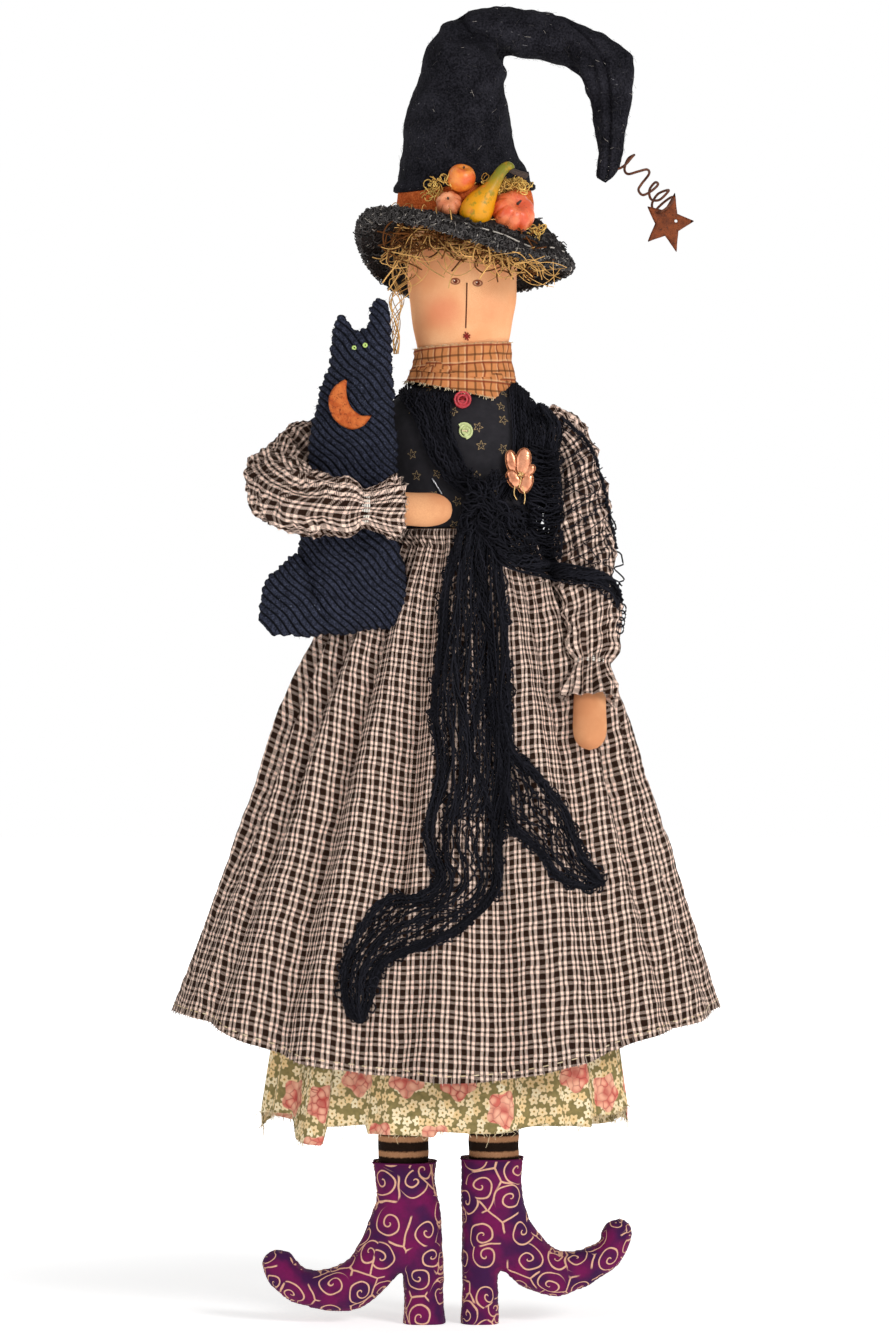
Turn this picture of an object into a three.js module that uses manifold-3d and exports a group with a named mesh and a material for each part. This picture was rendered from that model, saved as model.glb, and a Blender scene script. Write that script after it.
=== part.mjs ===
// Witch rag doll: a stuffed cloth doll in a gathered dress and a bent hat, with a stuffed cat in one arm.
// Millimetres, +Z up. The doll faces -Y, and the origin is on the floor below the middle of the skirt.
import * as THREE from "three";
import { mergeVertices } from "three/addons/utils/BufferGeometryUtils.js";
import Module from "manifold-3d";

const wasm = await Module();
wasm.setup();

// Driving dimensions: clearances and cloth
const GAP = 0.3; // between two pieces that touch
const COTTON = 1.2; // wall of a cotton piece
const FELT = 2.2; // wall of the wool hat
const KNIT = 3.4; // thickness of the knitted shawl
const TAIL_HALF_WIDTH = 26; // widest half of the shawl's hanging tail
const KNOT_RADIUS = 16;

// Driving dimensions: torso
const BODY_X = 11; // the body's own centre line, off the skirt's middle
const TORSO_BOTTOM = 426;
const HIP_RISE = 26; // from the torso's underside to the hips
const WAIST_RISE = 62; // from the hips to the waist
const CHEST_RISE = 60; // from the waist to the chest
const NECK_RISE = 32; // from the chest to the neck's base
const HIP_HALF_WIDTH = 52;
const HIP_HALF_DEPTH = 36;
const WAIST_HALF_WIDTH = 46;
const WAIST_HALF_DEPTH = 34;
const CHEST_HALF_WIDTH = 54;
const CHEST_HALF_DEPTH = 33;
const NECK_BASE_HALF_WIDTH = 34;
const NECK_BASE_HALF_DEPTH = 23;

// Driving dimensions: head and neck scarf
const NECK_HALF_WIDTH = 28.5;
const NECK_HALF_DEPTH = 22;
const FACE_HEIGHT = 40; // from the neck's pivot to the widest part of the face
const FACE_HALF_WIDTH = 35;
const FACE_HALF_DEPTH = 28;
const HEAD_HEIGHT = 108; // from the neck's pivot to the crown of the head
const NECK_PLAY = 2; // room for the neck to move inside its scarf
const NECK_NOD = 8; // degrees that the head nods each way
const SCARF_RISE = 5; // top edge of the neck scarf above the neck's pivot
const SCARF_DROP = 23; // lower edge of the neck scarf below the neck's pivot
const SCARF_THICKNESS = 2.4;

// Driving dimensions: hat
const HAT_X = 12.7;
const HAT_PULL = 18.3; // how far the head goes into the hat
const CROWN_RISE = 119; // from the crown's mouth to the top of its bend
const CROWN_REACH = 95; // from the crown's middle to its drooping tip
const CROWN_HALF_WIDTH = 43;
const CROWN_HALF_DEPTH = 38;
const BAND_HEIGHT = 19;
const BAND_THICKNESS = 1.6;
const BRIM_HALF_WIDTH = 68;
const BRIM_HALF_DEPTH = 62;
const BRIM_THICKNESS = 4.6;
const BRIM_DROOP = 44; // how far the brim's lowest edge hangs below the crown's mouth
const GOURD_RADIUS = 10;
const LARGE_PUMPKIN = 12.5;
const SMALL_PUMPKIN = 7.8;
const ROUND_FRUIT = 8.6;
const MOSS_RADIUS = 12;

// Driving dimensions: star on its spring
const SPRING_WIRE = 1.4;
const SPRING_RADIUS = 6;
const SPRING_CURLS = 4;
const SPRING_LENGTH = 46;
const STAR_SWING = 12; // degrees that the spring bobs each way
const SPRING_LEAD = 8; // straight wire from the hat's tip to the first curl
const STAR_RADIUS = 19.5;
const STAR_THICKNESS = 0.9;

// Driving dimensions: dress
const SKIRT_HALF_WIDTH = 170;
const SKIRT_HALF_DEPTH = 93;
const SKIRT_FRONT_HEM = 162;
const SKIRT_SIDE_HEM = 204;
const SKIRT_FOLDS = 16;
const SKIRT_FOLD_DEPTH = 9;
const PETTICOAT_INSET_WIDTH = 52; // petticoat hem inside the skirt hem
const PETTICOAT_INSET_DEPTH = 20;
const PETTICOAT_HEM = 119;
const PETTICOAT_FOLDS = 14;
const PETTICOAT_FOLD_DEPTH = 5;

// Driving dimensions: legs and boots
const LEG_RADIUS = 16;
const LEG_SPREAD = 29.25; // from the middle between the legs to each leg
const LEGS_X = 2;
const LEGS_Y = -9;
const BOOT_HEIGHT = 105;
const HEEL_HEIGHT = 33;
const HEEL_LENGTH = 24;
const HEEL_HALF_DEPTH = 14;
const LEG_SET_BACK = 23; // from the back of the heel to the leg's axis
const SHAFT_HALF_WIDTH = 19;
const SHAFT_HALF_DEPTH = 17;
const FOOT_REACH = 110; // from the back of the heel to the toe
const SOLE_HEIGHT = 9; // the sole's lowest point above the floor
const LEG_IN_BOOT = 10;

// Driving dimensions: arms and sleeves
const ARMHOLE_CLEARANCE = 1.5;
const ARM_RADIUS = 10.5;
const ARM_LENGTH = 200;
const SHOULDER_DROP = 2; // shoulder below the chest's widest level
const SLEEVE_PUFF = 20;
const CUFF_RADIUS = 14;
const RUFFLE_RADIUS = 18.5;
const ELASTIC_WIRE = 1.4;

// Driving dimensions: cat
const CAT_X = -60;
const CAT_Y = -38;
const CAT_BELOW_WAIST = 68;
const CAT_HEIGHT = 206;
const CAT_HALF_WIDTH = 36;
const CAT_HALF_DEPTH = 24;
const CAT_HEAD_HALF_WIDTH = 19.5;
const CAT_HEAD_HALF_DEPTH = 15;
const CAT_EAR_HEIGHT = 26;
const CAT_TAIL_RADIUS = 12;
const MOON_RADIUS = 17;
const MOON_THICKNESS = 0.9;
const BEAD_RADIUS = 1.5;

// Driving dimensions: trimmings
const BUTTON_RADIUS = 5.7;
const BUTTON_THICKNESS = 2.4;
const BUTTON_HOLE = 0.9;
const BUTTON_HOLE_SPREAD = 1.6;
const BUTTON_BELOW_SCARF = 3;
const BUTTON_PITCH = 20;
const PETAL_LENGTH = 11;
const PETAL_HALF_WIDTH = 5.2;
const PETAL_THICKNESS = 1.4;

// Heights that follow from the driving dimensions
const HIP_HEIGHT = TORSO_BOTTOM + HIP_RISE;
const WAIST_HEIGHT = HIP_HEIGHT + WAIST_RISE;
const CHEST_HEIGHT = WAIST_HEIGHT + CHEST_RISE;
const TORSO_TOP = CHEST_HEIGHT + NECK_RISE;
const NECK_PIVOT = TORSO_TOP + GAP + NECK_HALF_DEPTH; // axis that the head nods about
const HAT_BASE = NECK_PIVOT + HEAD_HEIGHT - HAT_PULL;
const SHOULDER_HEIGHT = CHEST_HEIGHT - SHOULDER_DROP;
const CAT_BASE = WAIST_HEIGHT - CAT_BELOW_WAIST;

// Points and closed surfaces

const point = (x, y, z) => new THREE.Vector3(x, y, z);
const lerp = THREE.MathUtils.lerp;
const Y_AXIS = point(0, 1, 0);
const Z_AXIS = point(0, 0, 1);

// A closed surface from points and triangles, turned so that its faces point out.
function closedSurface(points, triangles) {
  let volume = 0;
  for (const [a, b, c] of triangles) volume += points[a].dot(points[b].clone().cross(points[c]));
  const faces = volume < 0 ? triangles.map(([a, b, c]) => [a, c, b]) : triangles;
  const geometry = new THREE.BufferGeometry().setFromPoints(points);
  geometry.setIndex(faces.flat());
  return geometry;
}

// The triangles between one ring of points and the next, by the indices at which they start.
function bridge(from, to, count) {
  const triangles = [];
  for (let i = 0; i < count; i++) {
    const j = (i + 1) % count;
    triangles.push([from + i, from + j, to + j], [from + i, to + j, to + i]);
  }
  return triangles;
}

// A solid skinned over rings, with a fan over the first and the last.
function loft(rings) {
  const count = rings[0].length;
  const points = rings.flat();
  const triangles = [];
  for (let r = 0; r + 1 < rings.length; r++) triangles.push(...bridge(r * count, (r + 1) * count, count));
  for (const r of [0, rings.length - 1]) {
    const middle = rings[r].reduce((sum, p) => sum.add(p), point(0, 0, 0)).divideScalar(count);
    points.push(middle);
    for (let i = 0; i < count; i++) {
      const fan = [points.length - 1, r * count + i, r * count + ((i + 1) % count)];
      triangles.push(r === 0 ? [fan[0], fan[2], fan[1]] : fan);
    }
  }
  return closedSurface(points, triangles);
}

// A ring-shaped solid: the last section joins the first.
function closedLoft(sections) {
  const count = sections[0].length;
  const triangles = [];
  for (let s = 0; s < sections.length; s++) {
    triangles.push(...bridge(s * count, ((s + 1) % sections.length) * count, count));
  }
  return closedSurface(sections.flat(), triangles);
}

// A wall between an outer and an inner skin, open at both ends.
const wall = (outer, inner) => closedLoft([...outer, ...[...inner].reverse()]);

// A level ring of points about (x, y) at height z.
function levelRing(x, y, z, halfWidth, halfDepth, count) {
  return Array.from({ length: count }, (_, i) => {
    const angle = (2 * Math.PI * i) / count;
    return point(x + halfWidth * Math.cos(angle), y + halfDepth * Math.sin(angle), z);
  });
}

// Level rings through sections [height, half width, half depth, x, y], smoothed between them.
function stackRings(sections, steps, count) {
  const centres = new THREE.CatmullRomCurve3(sections.map(([z, , , x, y]) => point(x, y, z)));
  const halves = new THREE.CatmullRomCurve3(sections.map(([, w, d]) => point(w, d, 0)));
  return Array.from({ length: steps + 1 }, (_, i) => {
    const at = centres.getPoint(i / steps);
    const half = halves.getPoint(i / steps);
    return levelRing(at.x, at.y, at.z, half.x, half.y, count);
  });
}

// Rings square to a path, with [half width, half depth] at each of its points.
// The depth axis sets which way depth lies.
function spineRings(path, halves, steps, count, depthAxis, ripple = () => 1) {
  const line = new THREE.CatmullRomCurve3(path);
  const sizes = new THREE.CatmullRomCurve3(halves.map(([w, d]) => point(w, d, 0)));
  return Array.from({ length: steps + 1 }, (_, s) => {
    const t = s / steps;
    const centre = line.getPoint(t);
    const along = line.getTangent(t);
    const across = depthAxis.clone().cross(along).normalize();
    const deep = along.clone().cross(across).normalize();
    const half = sizes.getPoint(t);
    return Array.from({ length: count }, (_, i) => {
      const angle = (2 * Math.PI * i) / count;
      const swell = ripple(t, angle);
      return centre.clone()
        .addScaledVector(across, half.x * swell * Math.cos(angle))
        .addScaledVector(deep, half.y * swell * Math.sin(angle));
    });
  });
}

// Solids: joining, cutting and placing

// A geometry as a solid that can be joined and cut.
function solid(geometry) {
  const bare = geometry.index ? geometry.toNonIndexed() : geometry.clone();
  bare.deleteAttribute("normal");
  bare.deleteAttribute("uv");
  const merged = mergeVertices(bare, 1e-4);
  return new wasm.Manifold(new wasm.Mesh({
    numProp: 3,
    vertProperties: merged.attributes.position.array,
    triVerts: new Uint32Array(merged.index.array),
  }));
}

// The surface of a solid's largest body as a geometry.
function surfaceOf(made) {
  const bodies = made.decompose().sort((a, b) => b.volume() - a.volume());
  const { vertProperties, triVerts } = bodies[0].getMesh();
  const geometry = new THREE.BufferGeometry();
  geometry.setAttribute("position", new THREE.BufferAttribute(new Float32Array(vertProperties), 3));
  geometry.setIndex(new THREE.BufferAttribute(new Uint32Array(triVerts), 1));
  return geometry;
}

const cutBy = (made, ...tools) => tools.reduce((left, tool) => left.subtract(tool), made);
const joined = (...solids) => solids.reduce((sum, next) => sum.add(next));

// A box between two corners.
// A solid turned about a point, in degrees about x, y and z.
const turned = (body, about, degrees) =>
  body.translate(about.clone().negate().toArray()).rotate(degrees).translate(about.toArray());
function block(low, high) {
  const size = high.clone().sub(low);
  const box = new THREE.BoxGeometry(size.x, size.y, size.z);
  const middle = low.clone().add(high).multiplyScalar(0.5);
  return solid(box.translate(middle.x, middle.y, middle.z));
}

// A front-view outline of (x, z) points, pushed through from y = far to y = near.
function frontOutline(points, near, far) {
  const outline = new THREE.Shape(points.map(([x, z]) => new THREE.Vector2(x, z)));
  const pushed = new THREE.ExtrudeGeometry(outline, { depth: far - near, bevelEnabled: false });
  return solid(pushed.rotateX(Math.PI / 2).translate(0, far, 0));
}

// A ball of three half sizes about a point.
function ball(centre, halfX, halfY, halfZ, around = 12, up = 7) {
  const sphere = new THREE.SphereGeometry(1, around, up).rotateX(Math.PI / 2).scale(halfX, halfY, halfZ);
  return solid(sphere.translate(centre.x, centre.y, centre.z));
}

const doll = new THREE.Group();
doll.name = "witch_rag_doll";

// Adds one named piece to the doll and returns its mesh.
function addPiece(name, made, material) {
  const mesh = new THREE.Mesh(surfaceOf(made), material);
  mesh.name = name;
  doll.add(mesh);
  return mesh;
}

// Where a level line from the front first meets a mesh at (x, z), and the surface's normal there.
function frontOf(mesh, x, z) {
  const START = -400;
  mesh.material.side = THREE.DoubleSide;
  mesh.updateMatrixWorld(true);
  const hit = new THREE.Raycaster(point(x, START, z), Y_AXIS).intersectObject(mesh)[0];
  return { at: hit.point, normal: hit.face.normal.clone() };
}

// Turns a geometry made about +Z so that +Z lies along the normal, and sets it at a point.
function seated(geometry, at, normal) {
  const turn = new THREE.Quaternion().setFromUnitVectors(Z_AXIS, normal);
  return geometry.applyQuaternion(turn).translate(at.x, at.y, at.z);
}

// Materials

const finish = (color, roughness, metalness = 0) =>
  new THREE.MeshStandardMaterial({ color, roughness, metalness });
const muslin = finish(0xd9a06b, 0.9);
const starCotton = finish(0x24242a, 0.9);
const checkCotton = finish(0x8a7664, 0.92);
const floralCotton = finish(0xc9b58a, 0.9);
const scarfCotton = finish(0xcf8f4c, 0.9);
const stripeCotton = finish(0x2a211c, 0.92);
const batikCotton = finish(0x5a1c58, 0.85);
const blackWool = finish(0x17171b, 0.97);
const shagWool = finish(0x2b2c31, 0.98);
const blackKnit = finish(0x14161b, 0.97);
const rustCloth = finish(0xa9491c, 0.95);
const corduroy = finish(0x1a2130, 0.95);
const straw = finish(0xb08a58, 0.9);
const fibre = finish(0xe8e4da, 1);
const rust = finish(0x7c3f1e, 0.85, 0.4);
const copper = finish(0xb9764c, 0.35, 0.8);
const steel = finish(0x8d8d90, 0.4, 0.9);
const redPlastic = finish(0xb52a38, 0.35);
const greenPlastic = finish(0xb9c98a, 0.4);
const greenGlass = finish(0xa7c46a, 0.2);
const gourdYellow = finish(0xc7a02a, 0.5);
const gourdStemBrown = finish(0x3a2c22, 0.8);
const pumpkinOrange = finish(0xc9502a, 0.5);
const mossYellow = finish(0xa98a3c, 0.98);
const thread = finish(0x2a1512, 0.9);

// Torso, legs and boots

// The stuffed torso, grown outwards by a margin.
function torsoForm(grow) {
  const sections = [
    [TORSO_BOTTOM - grow, 0.8 * HIP_HALF_WIDTH, 0.75 * HIP_HALF_DEPTH],
    [HIP_HEIGHT, HIP_HALF_WIDTH, HIP_HALF_DEPTH],
    [lerp(HIP_HEIGHT, WAIST_HEIGHT, 0.5), lerp(HIP_HALF_WIDTH, WAIST_HALF_WIDTH, 0.4), HIP_HALF_DEPTH],
    [WAIST_HEIGHT, WAIST_HALF_WIDTH, WAIST_HALF_DEPTH],
    [lerp(WAIST_HEIGHT, CHEST_HEIGHT, 0.5), lerp(WAIST_HALF_WIDTH, CHEST_HALF_WIDTH, 0.6), CHEST_HALF_DEPTH],
    [CHEST_HEIGHT, CHEST_HALF_WIDTH, CHEST_HALF_DEPTH],
    [lerp(CHEST_HEIGHT, TORSO_TOP, 0.6), lerp(CHEST_HALF_WIDTH, NECK_BASE_HALF_WIDTH, 0.3),
      lerp(CHEST_HALF_DEPTH, NECK_BASE_HALF_DEPTH, 0.4)],
    [TORSO_TOP + grow, NECK_BASE_HALF_WIDTH, NECK_BASE_HALF_DEPTH],
  ];
  return solid(loft(stackRings(sections.map(([z, w, d]) => [z, w + grow, d + grow, BODY_X, 0]), 9, 18)));
}
const torso = addPiece("torso", torsoForm(0), muslin);

// Each leg hangs from the torso's underside on a rounded top about its hip axis.
const HIP_AXIS_HEIGHT = TORSO_BOTTOM - GAP - LEG_RADIUS;
const LEG_FOOT = BOOT_HEIGHT - LEG_IN_BOOT;
function legForm(x, grow) {
  const rings = [levelRing(x, LEGS_Y, LEG_FOOT - grow, LEG_RADIUS + grow, LEG_RADIUS + grow, 14)];
  for (const angle of [0, 30, 55, 75]) {
    const lift = (LEG_RADIUS + grow) * Math.sin(THREE.MathUtils.degToRad(angle));
    const half = (LEG_RADIUS + grow) * Math.cos(THREE.MathUtils.degToRad(angle));
    rings.push(levelRing(x, LEGS_Y, HIP_AXIS_HEIGHT + lift, half, half, 14));
  }
  return solid(loft(rings));
}

// A stuffed boot with a block heel and a curled toe, in (u, z) from the back of its heel; side is -1 or 1.
function bootForm(x, side, toeLift) {
  const across = (u) => x + side * (u - LEG_SET_BACK);
  const shaftX = across(LEG_SET_BACK);
  const ankle = lerp(HEEL_HEIGHT, BOOT_HEIGHT, 0.4);
  const shaft = stackRings([
    [0, HEEL_LENGTH / 2, HEEL_HALF_DEPTH, across(HEEL_LENGTH / 2), LEGS_Y],
    [HEEL_HEIGHT / 2, HEEL_LENGTH / 2 + 0.8, HEEL_HALF_DEPTH + 0.5, across(HEEL_LENGTH / 2 + 0.8), LEGS_Y],
    [HEEL_HEIGHT, HEEL_LENGTH / 2 + 2, HEEL_HALF_DEPTH + 1, across(HEEL_LENGTH / 2 + 2), LEGS_Y],
    [ankle, SHAFT_HALF_WIDTH + 4, SHAFT_HALF_DEPTH, shaftX, LEGS_Y],
    [lerp(ankle, BOOT_HEIGHT, 0.6), SHAFT_HALF_WIDTH + 0.5, SHAFT_HALF_DEPTH, shaftX, LEGS_Y],
    [BOOT_HEIGHT, SHAFT_HALF_WIDTH, SHAFT_HALF_DEPTH, shaftX, LEGS_Y],
  ], 6, 14);
  const arch = lerp(HEEL_LENGTH, FOOT_REACH, 0.16);
  const profile = [
    [LEG_SET_BACK, HEEL_HEIGHT + 19, 22, 15.5],
    [lerp(LEG_SET_BACK, FOOT_REACH, 0.25), SOLE_HEIGHT + 27, 19, 15.5],
    [lerp(LEG_SET_BACK, FOOT_REACH, 0.45), SOLE_HEIGHT + 16, 16, 14.5],
    [lerp(LEG_SET_BACK, FOOT_REACH, 0.66), SOLE_HEIGHT + 13.5, 13.3, 13],
    [lerp(LEG_SET_BACK, FOOT_REACH, 0.84), SOLE_HEIGHT + 18, 12, 12],
    [lerp(LEG_SET_BACK, FOOT_REACH, 0.96), SOLE_HEIGHT + 26, 10.5, 10.5],
    [FOOT_REACH, SOLE_HEIGHT + 35, 7.5, 8],
    [FOOT_REACH, SOLE_HEIGHT + 40, 2.5, 3],
  ];
  const pivot = point(across(arch), LEGS_Y, HEEL_HEIGHT);
  const path = profile.map(([u, z]) => {
    const at = point(across(u), LEGS_Y, z);
    const share = THREE.MathUtils.clamp((u - arch) / (FOOT_REACH - arch) * 3, 0, 1);
    return at.sub(pivot).applyAxisAngle(Y_AXIS, -side * share * toeLift).add(pivot);
  });
  const foot = spineRings(path, profile.map(([, , w, d]) => [w, d]), 9, 12, Y_AXIS);
  return joined(solid(loft(shaft)), solid(loft(foot)));
}

const TOE_LIFT = { left: THREE.MathUtils.degToRad(10), right: 0 };
for (const [name, side] of [["right", -1], ["left", 1]]) {
  const x = LEGS_X + side * LEG_SPREAD;
  addPiece(`${name}_leg`, legForm(x, 0), stripeCotton);
  addPiece(`${name}_boot`, cutBy(bootForm(x, side, TOE_LIFT[name]), legForm(x, GAP)), batikCotton);
}

// Dress: bodice, petticoat and skirt

const BODICE_OUT = GAP + COTTON; // from the torso to the outside of the bodice
const FAR = 400;
const bodiceRoom = block(point(-FAR, -FAR, WAIST_HEIGHT + GAP), point(FAR, FAR, TORSO_TOP - GAP));
const bodiceForm = cutBy(torsoForm(BODICE_OUT), torsoForm(GAP)).intersect(bodiceRoom);
const bodice = addPiece("bodice", bodiceForm, starCotton);

// One skin of a gathered skirt that hangs from the waist, pushed outwards by a margin.
function gatheredSkin(cut, grow, count, steps) {
  return Array.from({ length: steps + 1 }, (_, s) => {
    const t = s / steps;
    const flare = t ** 0.93;
    return Array.from({ length: count }, (_, i) => {
      const angle = (2 * Math.PI * i) / count;
      const side = Math.abs(Math.cos(angle)) ** 1.6;
      const phase = cut.folds * angle + 0.9 * Math.sin(2 * angle);
      const fold = cut.foldDepth * t * (0.5 + 0.5 * Math.cos(phase));
      const out = cut.waistOut * (1 - flare) + fold + grow;
      const halfWidth = lerp(WAIST_HALF_WIDTH, cut.halfWidth, flare) + out;
      const halfDepth = lerp(WAIST_HALF_DEPTH, cut.halfDepth, flare) + out;
      return point(
        lerp(BODY_X, 0, flare) + halfWidth * Math.cos(angle),
        halfDepth * Math.sin(angle),
        lerp(WAIST_HEIGHT, lerp(cut.frontHem, cut.sideHem, side), t),
      );
    });
  });
}
const petticoatCut = {
  halfWidth: SKIRT_HALF_WIDTH - PETTICOAT_INSET_WIDTH,
  halfDepth: SKIRT_HALF_DEPTH - PETTICOAT_INSET_DEPTH,
  frontHem: PETTICOAT_HEM,
  sideHem: PETTICOAT_HEM,
  folds: PETTICOAT_FOLDS,
  foldDepth: PETTICOAT_FOLD_DEPTH,
  waistOut: GAP,
};
const skirtCut = {
  halfWidth: SKIRT_HALF_WIDTH,
  halfDepth: SKIRT_HALF_DEPTH,
  frontHem: SKIRT_FRONT_HEM,
  sideHem: SKIRT_SIDE_HEM,
  folds: SKIRT_FOLDS,
  foldDepth: SKIRT_FOLD_DEPTH,
  waistOut: petticoatCut.waistOut + COTTON + GAP,
};
const gathered = (cut, count, steps) =>
  solid(wall(gatheredSkin(cut, COTTON, count, steps), gatheredSkin(cut, 0, count, steps)));
addPiece("petticoat", cutBy(gathered(petticoatCut, 42, 4), torsoForm(GAP)), floralCotton);
const skirt = addPiece("skirt", gathered(skirtCut, 64, 5), checkCotton);
const skirtForm = (grow) => solid(loft(gatheredSkin(skirtCut, COTTON + grow, 64, 5)));

// Head and neck scarf

// The neck ends in a half round about its nodding axis, which rests on the torso.
function headForm(grow) {
  const sections = [];
  for (const angle of [4, 25, 47, 70]) {
    const turn = THREE.MathUtils.degToRad(angle);
    sections.push([NECK_PIVOT - (NECK_HALF_DEPTH + grow) * Math.cos(turn),
      NECK_HALF_WIDTH * (0.4 + 0.6 * Math.sin(turn)) + grow, (NECK_HALF_DEPTH + grow) * Math.sin(turn)]);
  }
  const above = [
    [0, NECK_HALF_WIDTH, NECK_HALF_DEPTH],
    [0.45 * FACE_HEIGHT, lerp(NECK_HALF_WIDTH, FACE_HALF_WIDTH, 0.55),
      lerp(NECK_HALF_DEPTH, FACE_HALF_DEPTH, 0.5)],
    [FACE_HEIGHT, FACE_HALF_WIDTH, FACE_HALF_DEPTH],
    [lerp(FACE_HEIGHT, HEAD_HEIGHT, 0.4), FACE_HALF_WIDTH, FACE_HALF_DEPTH],
    [lerp(FACE_HEIGHT, HEAD_HEIGHT, 0.72), 0.86 * FACE_HALF_WIDTH, 0.86 * FACE_HALF_DEPTH],
    [lerp(FACE_HEIGHT, HEAD_HEIGHT, 0.92), 0.55 * FACE_HALF_WIDTH, 0.55 * FACE_HALF_DEPTH],
    [HEAD_HEIGHT + grow, 0.2 * FACE_HALF_WIDTH, 0.2 * FACE_HALF_DEPTH],
  ];
  sections.push(...above.map(([rise, w, d]) => [NECK_PIVOT + rise, w + grow, d + grow]));
  const count = 18;
  return solid(loft(sections.map(([z, w, d]) => levelRing(BODY_X, 0, z, w, d, count))));
}
const head = addPiece("head", headForm(0), muslin);

// A strip wound round the neck: snug at the top, spread over the shoulders below, and lower on one side.
function scarfForm(grow) {
  const inner = NECK_PLAY + grow;
  const sections = [
    [SCARF_RISE + grow, inner + SCARF_THICKNESS, 0.05],
    [0, inner + SCARF_THICKNESS + 0.8, -0.03],
    [-0.5 * SCARF_DROP, inner + SCARF_THICKNESS + 2.5, -0.1],
    [-SCARF_DROP - grow, inner + SCARF_THICKNESS + 4, -0.14],
  ];
  const rings = sections.map(([rise, out, slope]) =>
    levelRing(BODY_X, 0, NECK_PIVOT + rise, NECK_HALF_WIDTH + out, NECK_HALF_DEPTH + out, 18)
      .map((p) => point(p.x, p.y, p.z + slope * (p.x - BODY_X))));
  return solid(loft(rings));
}
const neckAxis = point(BODY_X, 0, NECK_PIVOT);
const noddingRoom = [-NECK_NOD, NECK_NOD].map((nod) => turned(headForm(2 * GAP), neckAxis, [nod, 0, 0]));
const scarfRoom = joined(headForm(NECK_PLAY), torsoForm(BODICE_OUT + GAP), ...noddingRoom);
addPiece("neck_scarf", cutBy(scarfForm(0), scarfRoom), scarfCotton);

// Hat: felt crown with its filling, brim, band and fruit

// The crown's bent centre line in shares of its reach and rise, then of its half width and half depth.
const CROWN_SPINE = [
  [0, 0, 1, 1],
  [0, 0.151, 0.99, 0.98],
  [-0.042, 0.37, 0.87, 0.87],
  [-0.053, 0.571, 0.78, 0.76],
  [-0.032, 0.773, 0.64, 0.62],
  [0.053, 0.924, 0.53, 0.5],
  [0.19, 1, 0.43, 0.42],
  [0.39, 1, 0.38, 0.37],
  [0.61, 0.975, 0.37, 0.35],
  [0.82, 0.899, 0.36, 0.33],
  [0.96, 0.765, 0.345, 0.31],
  [1, 0.613, 0.31, 0.28],
  [0.995, 0.429, 0.23, 0.21],
  [0.99, 0.277, 0.165, 0.16],
  [0.958, 0.176, 0.05, 0.05],
].map(([across, up, wide, deep]) =>
  [HAT_X + across * CROWN_REACH, HAT_BASE + up * CROWN_RISE,
    wide * CROWN_HALF_WIDTH, deep * CROWN_HALF_DEPTH]);
const CROWN_TIP = CROWN_SPINE.at(-2);

// The crown's skin grown by a margin; short leaves that many points off its tip, and drop lowers its mouth.
function crownForm(grow, short = 0, drop = 0) {
  const kept = CROWN_SPINE.slice(0, CROWN_SPINE.length - short);
  const path = kept.map(([x, z], i) => point(x, 0, i === 0 ? z - drop : z));
  const halves = kept.map(([, , w, d]) => [Math.max(w + grow, 0.8), Math.max(d + grow, 0.8)]);
  return solid(loft(spineRings(path, halves, kept.length - 1, 14, Y_AXIS)));
}
// The rusty spring: curls about a sloping line from the crown's tip down to the star.
const SPRING_START = point(CROWN_TIP[0] + 1, 0, CROWN_TIP[1]);
const SPRING_DROP = point(0.74, 0, -0.67).multiplyScalar(SPRING_LENGTH);
const SPRING_STEPS = 8;
function springPath() {
  const along = SPRING_DROP.clone().normalize();
  const across = along.clone().cross(Y_AXIS);
  const curlStart = SPRING_START.clone().add(point(SPRING_LEAD, 0, 0));
  const path = [SPRING_START.clone(), SPRING_START.clone().lerp(curlStart, 0.6)];
  const turns = SPRING_CURLS * SPRING_STEPS;
  for (let s = 0; s <= turns; s++) {
    const angle = (2 * Math.PI * s) / SPRING_STEPS;
    const reach = SPRING_RADIUS * Math.min(1, 0.45 + s / SPRING_STEPS) * (1 - 0.25 * (s / turns));
    path.push(curlStart.clone()
      .addScaledVector(SPRING_DROP, s / turns)
      .addScaledVector(across, reach * Math.sin(angle))
      .addScaledVector(Y_AXIS, reach * (1 - Math.cos(angle)) - reach));
  }
  return path;
}
const SPRING_POINTS = springPath();

// A wire swept along points, five-sided, with its ends square.
function wireForm(points, radius) {
  const rings = points.map((p, i) => {
    const ahead = points[Math.min(i + 1, points.length - 1)];
    const along = ahead.clone().sub(points[Math.max(i - 1, 0)]).normalize();
    const across = point(0.35, 1, 0.2).cross(along).normalize();
    const deep = along.clone().cross(across);
    return Array.from({ length: 5 }, (_, k) => {
      const angle = (2 * Math.PI * k) / 5;
      return p.clone()
        .addScaledVector(across, radius * Math.cos(angle))
        .addScaledVector(deep, radius * Math.sin(angle));
    });
  });
  return solid(loft(rings));
}

// The least gap of the spring's wire to itself, past the points beside each point.
function leastGap(points, diameter) {
  let least = Infinity;
  points.forEach((p, i) => points.slice(i + 4).forEach((q) => { least = Math.min(least, p.distanceTo(q)); }));
  return least - diameter;
}
console.log(`star spring: least gap between its curls ${leastGap(SPRING_POINTS, SPRING_WIRE).toFixed(2)} mm`);

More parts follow.
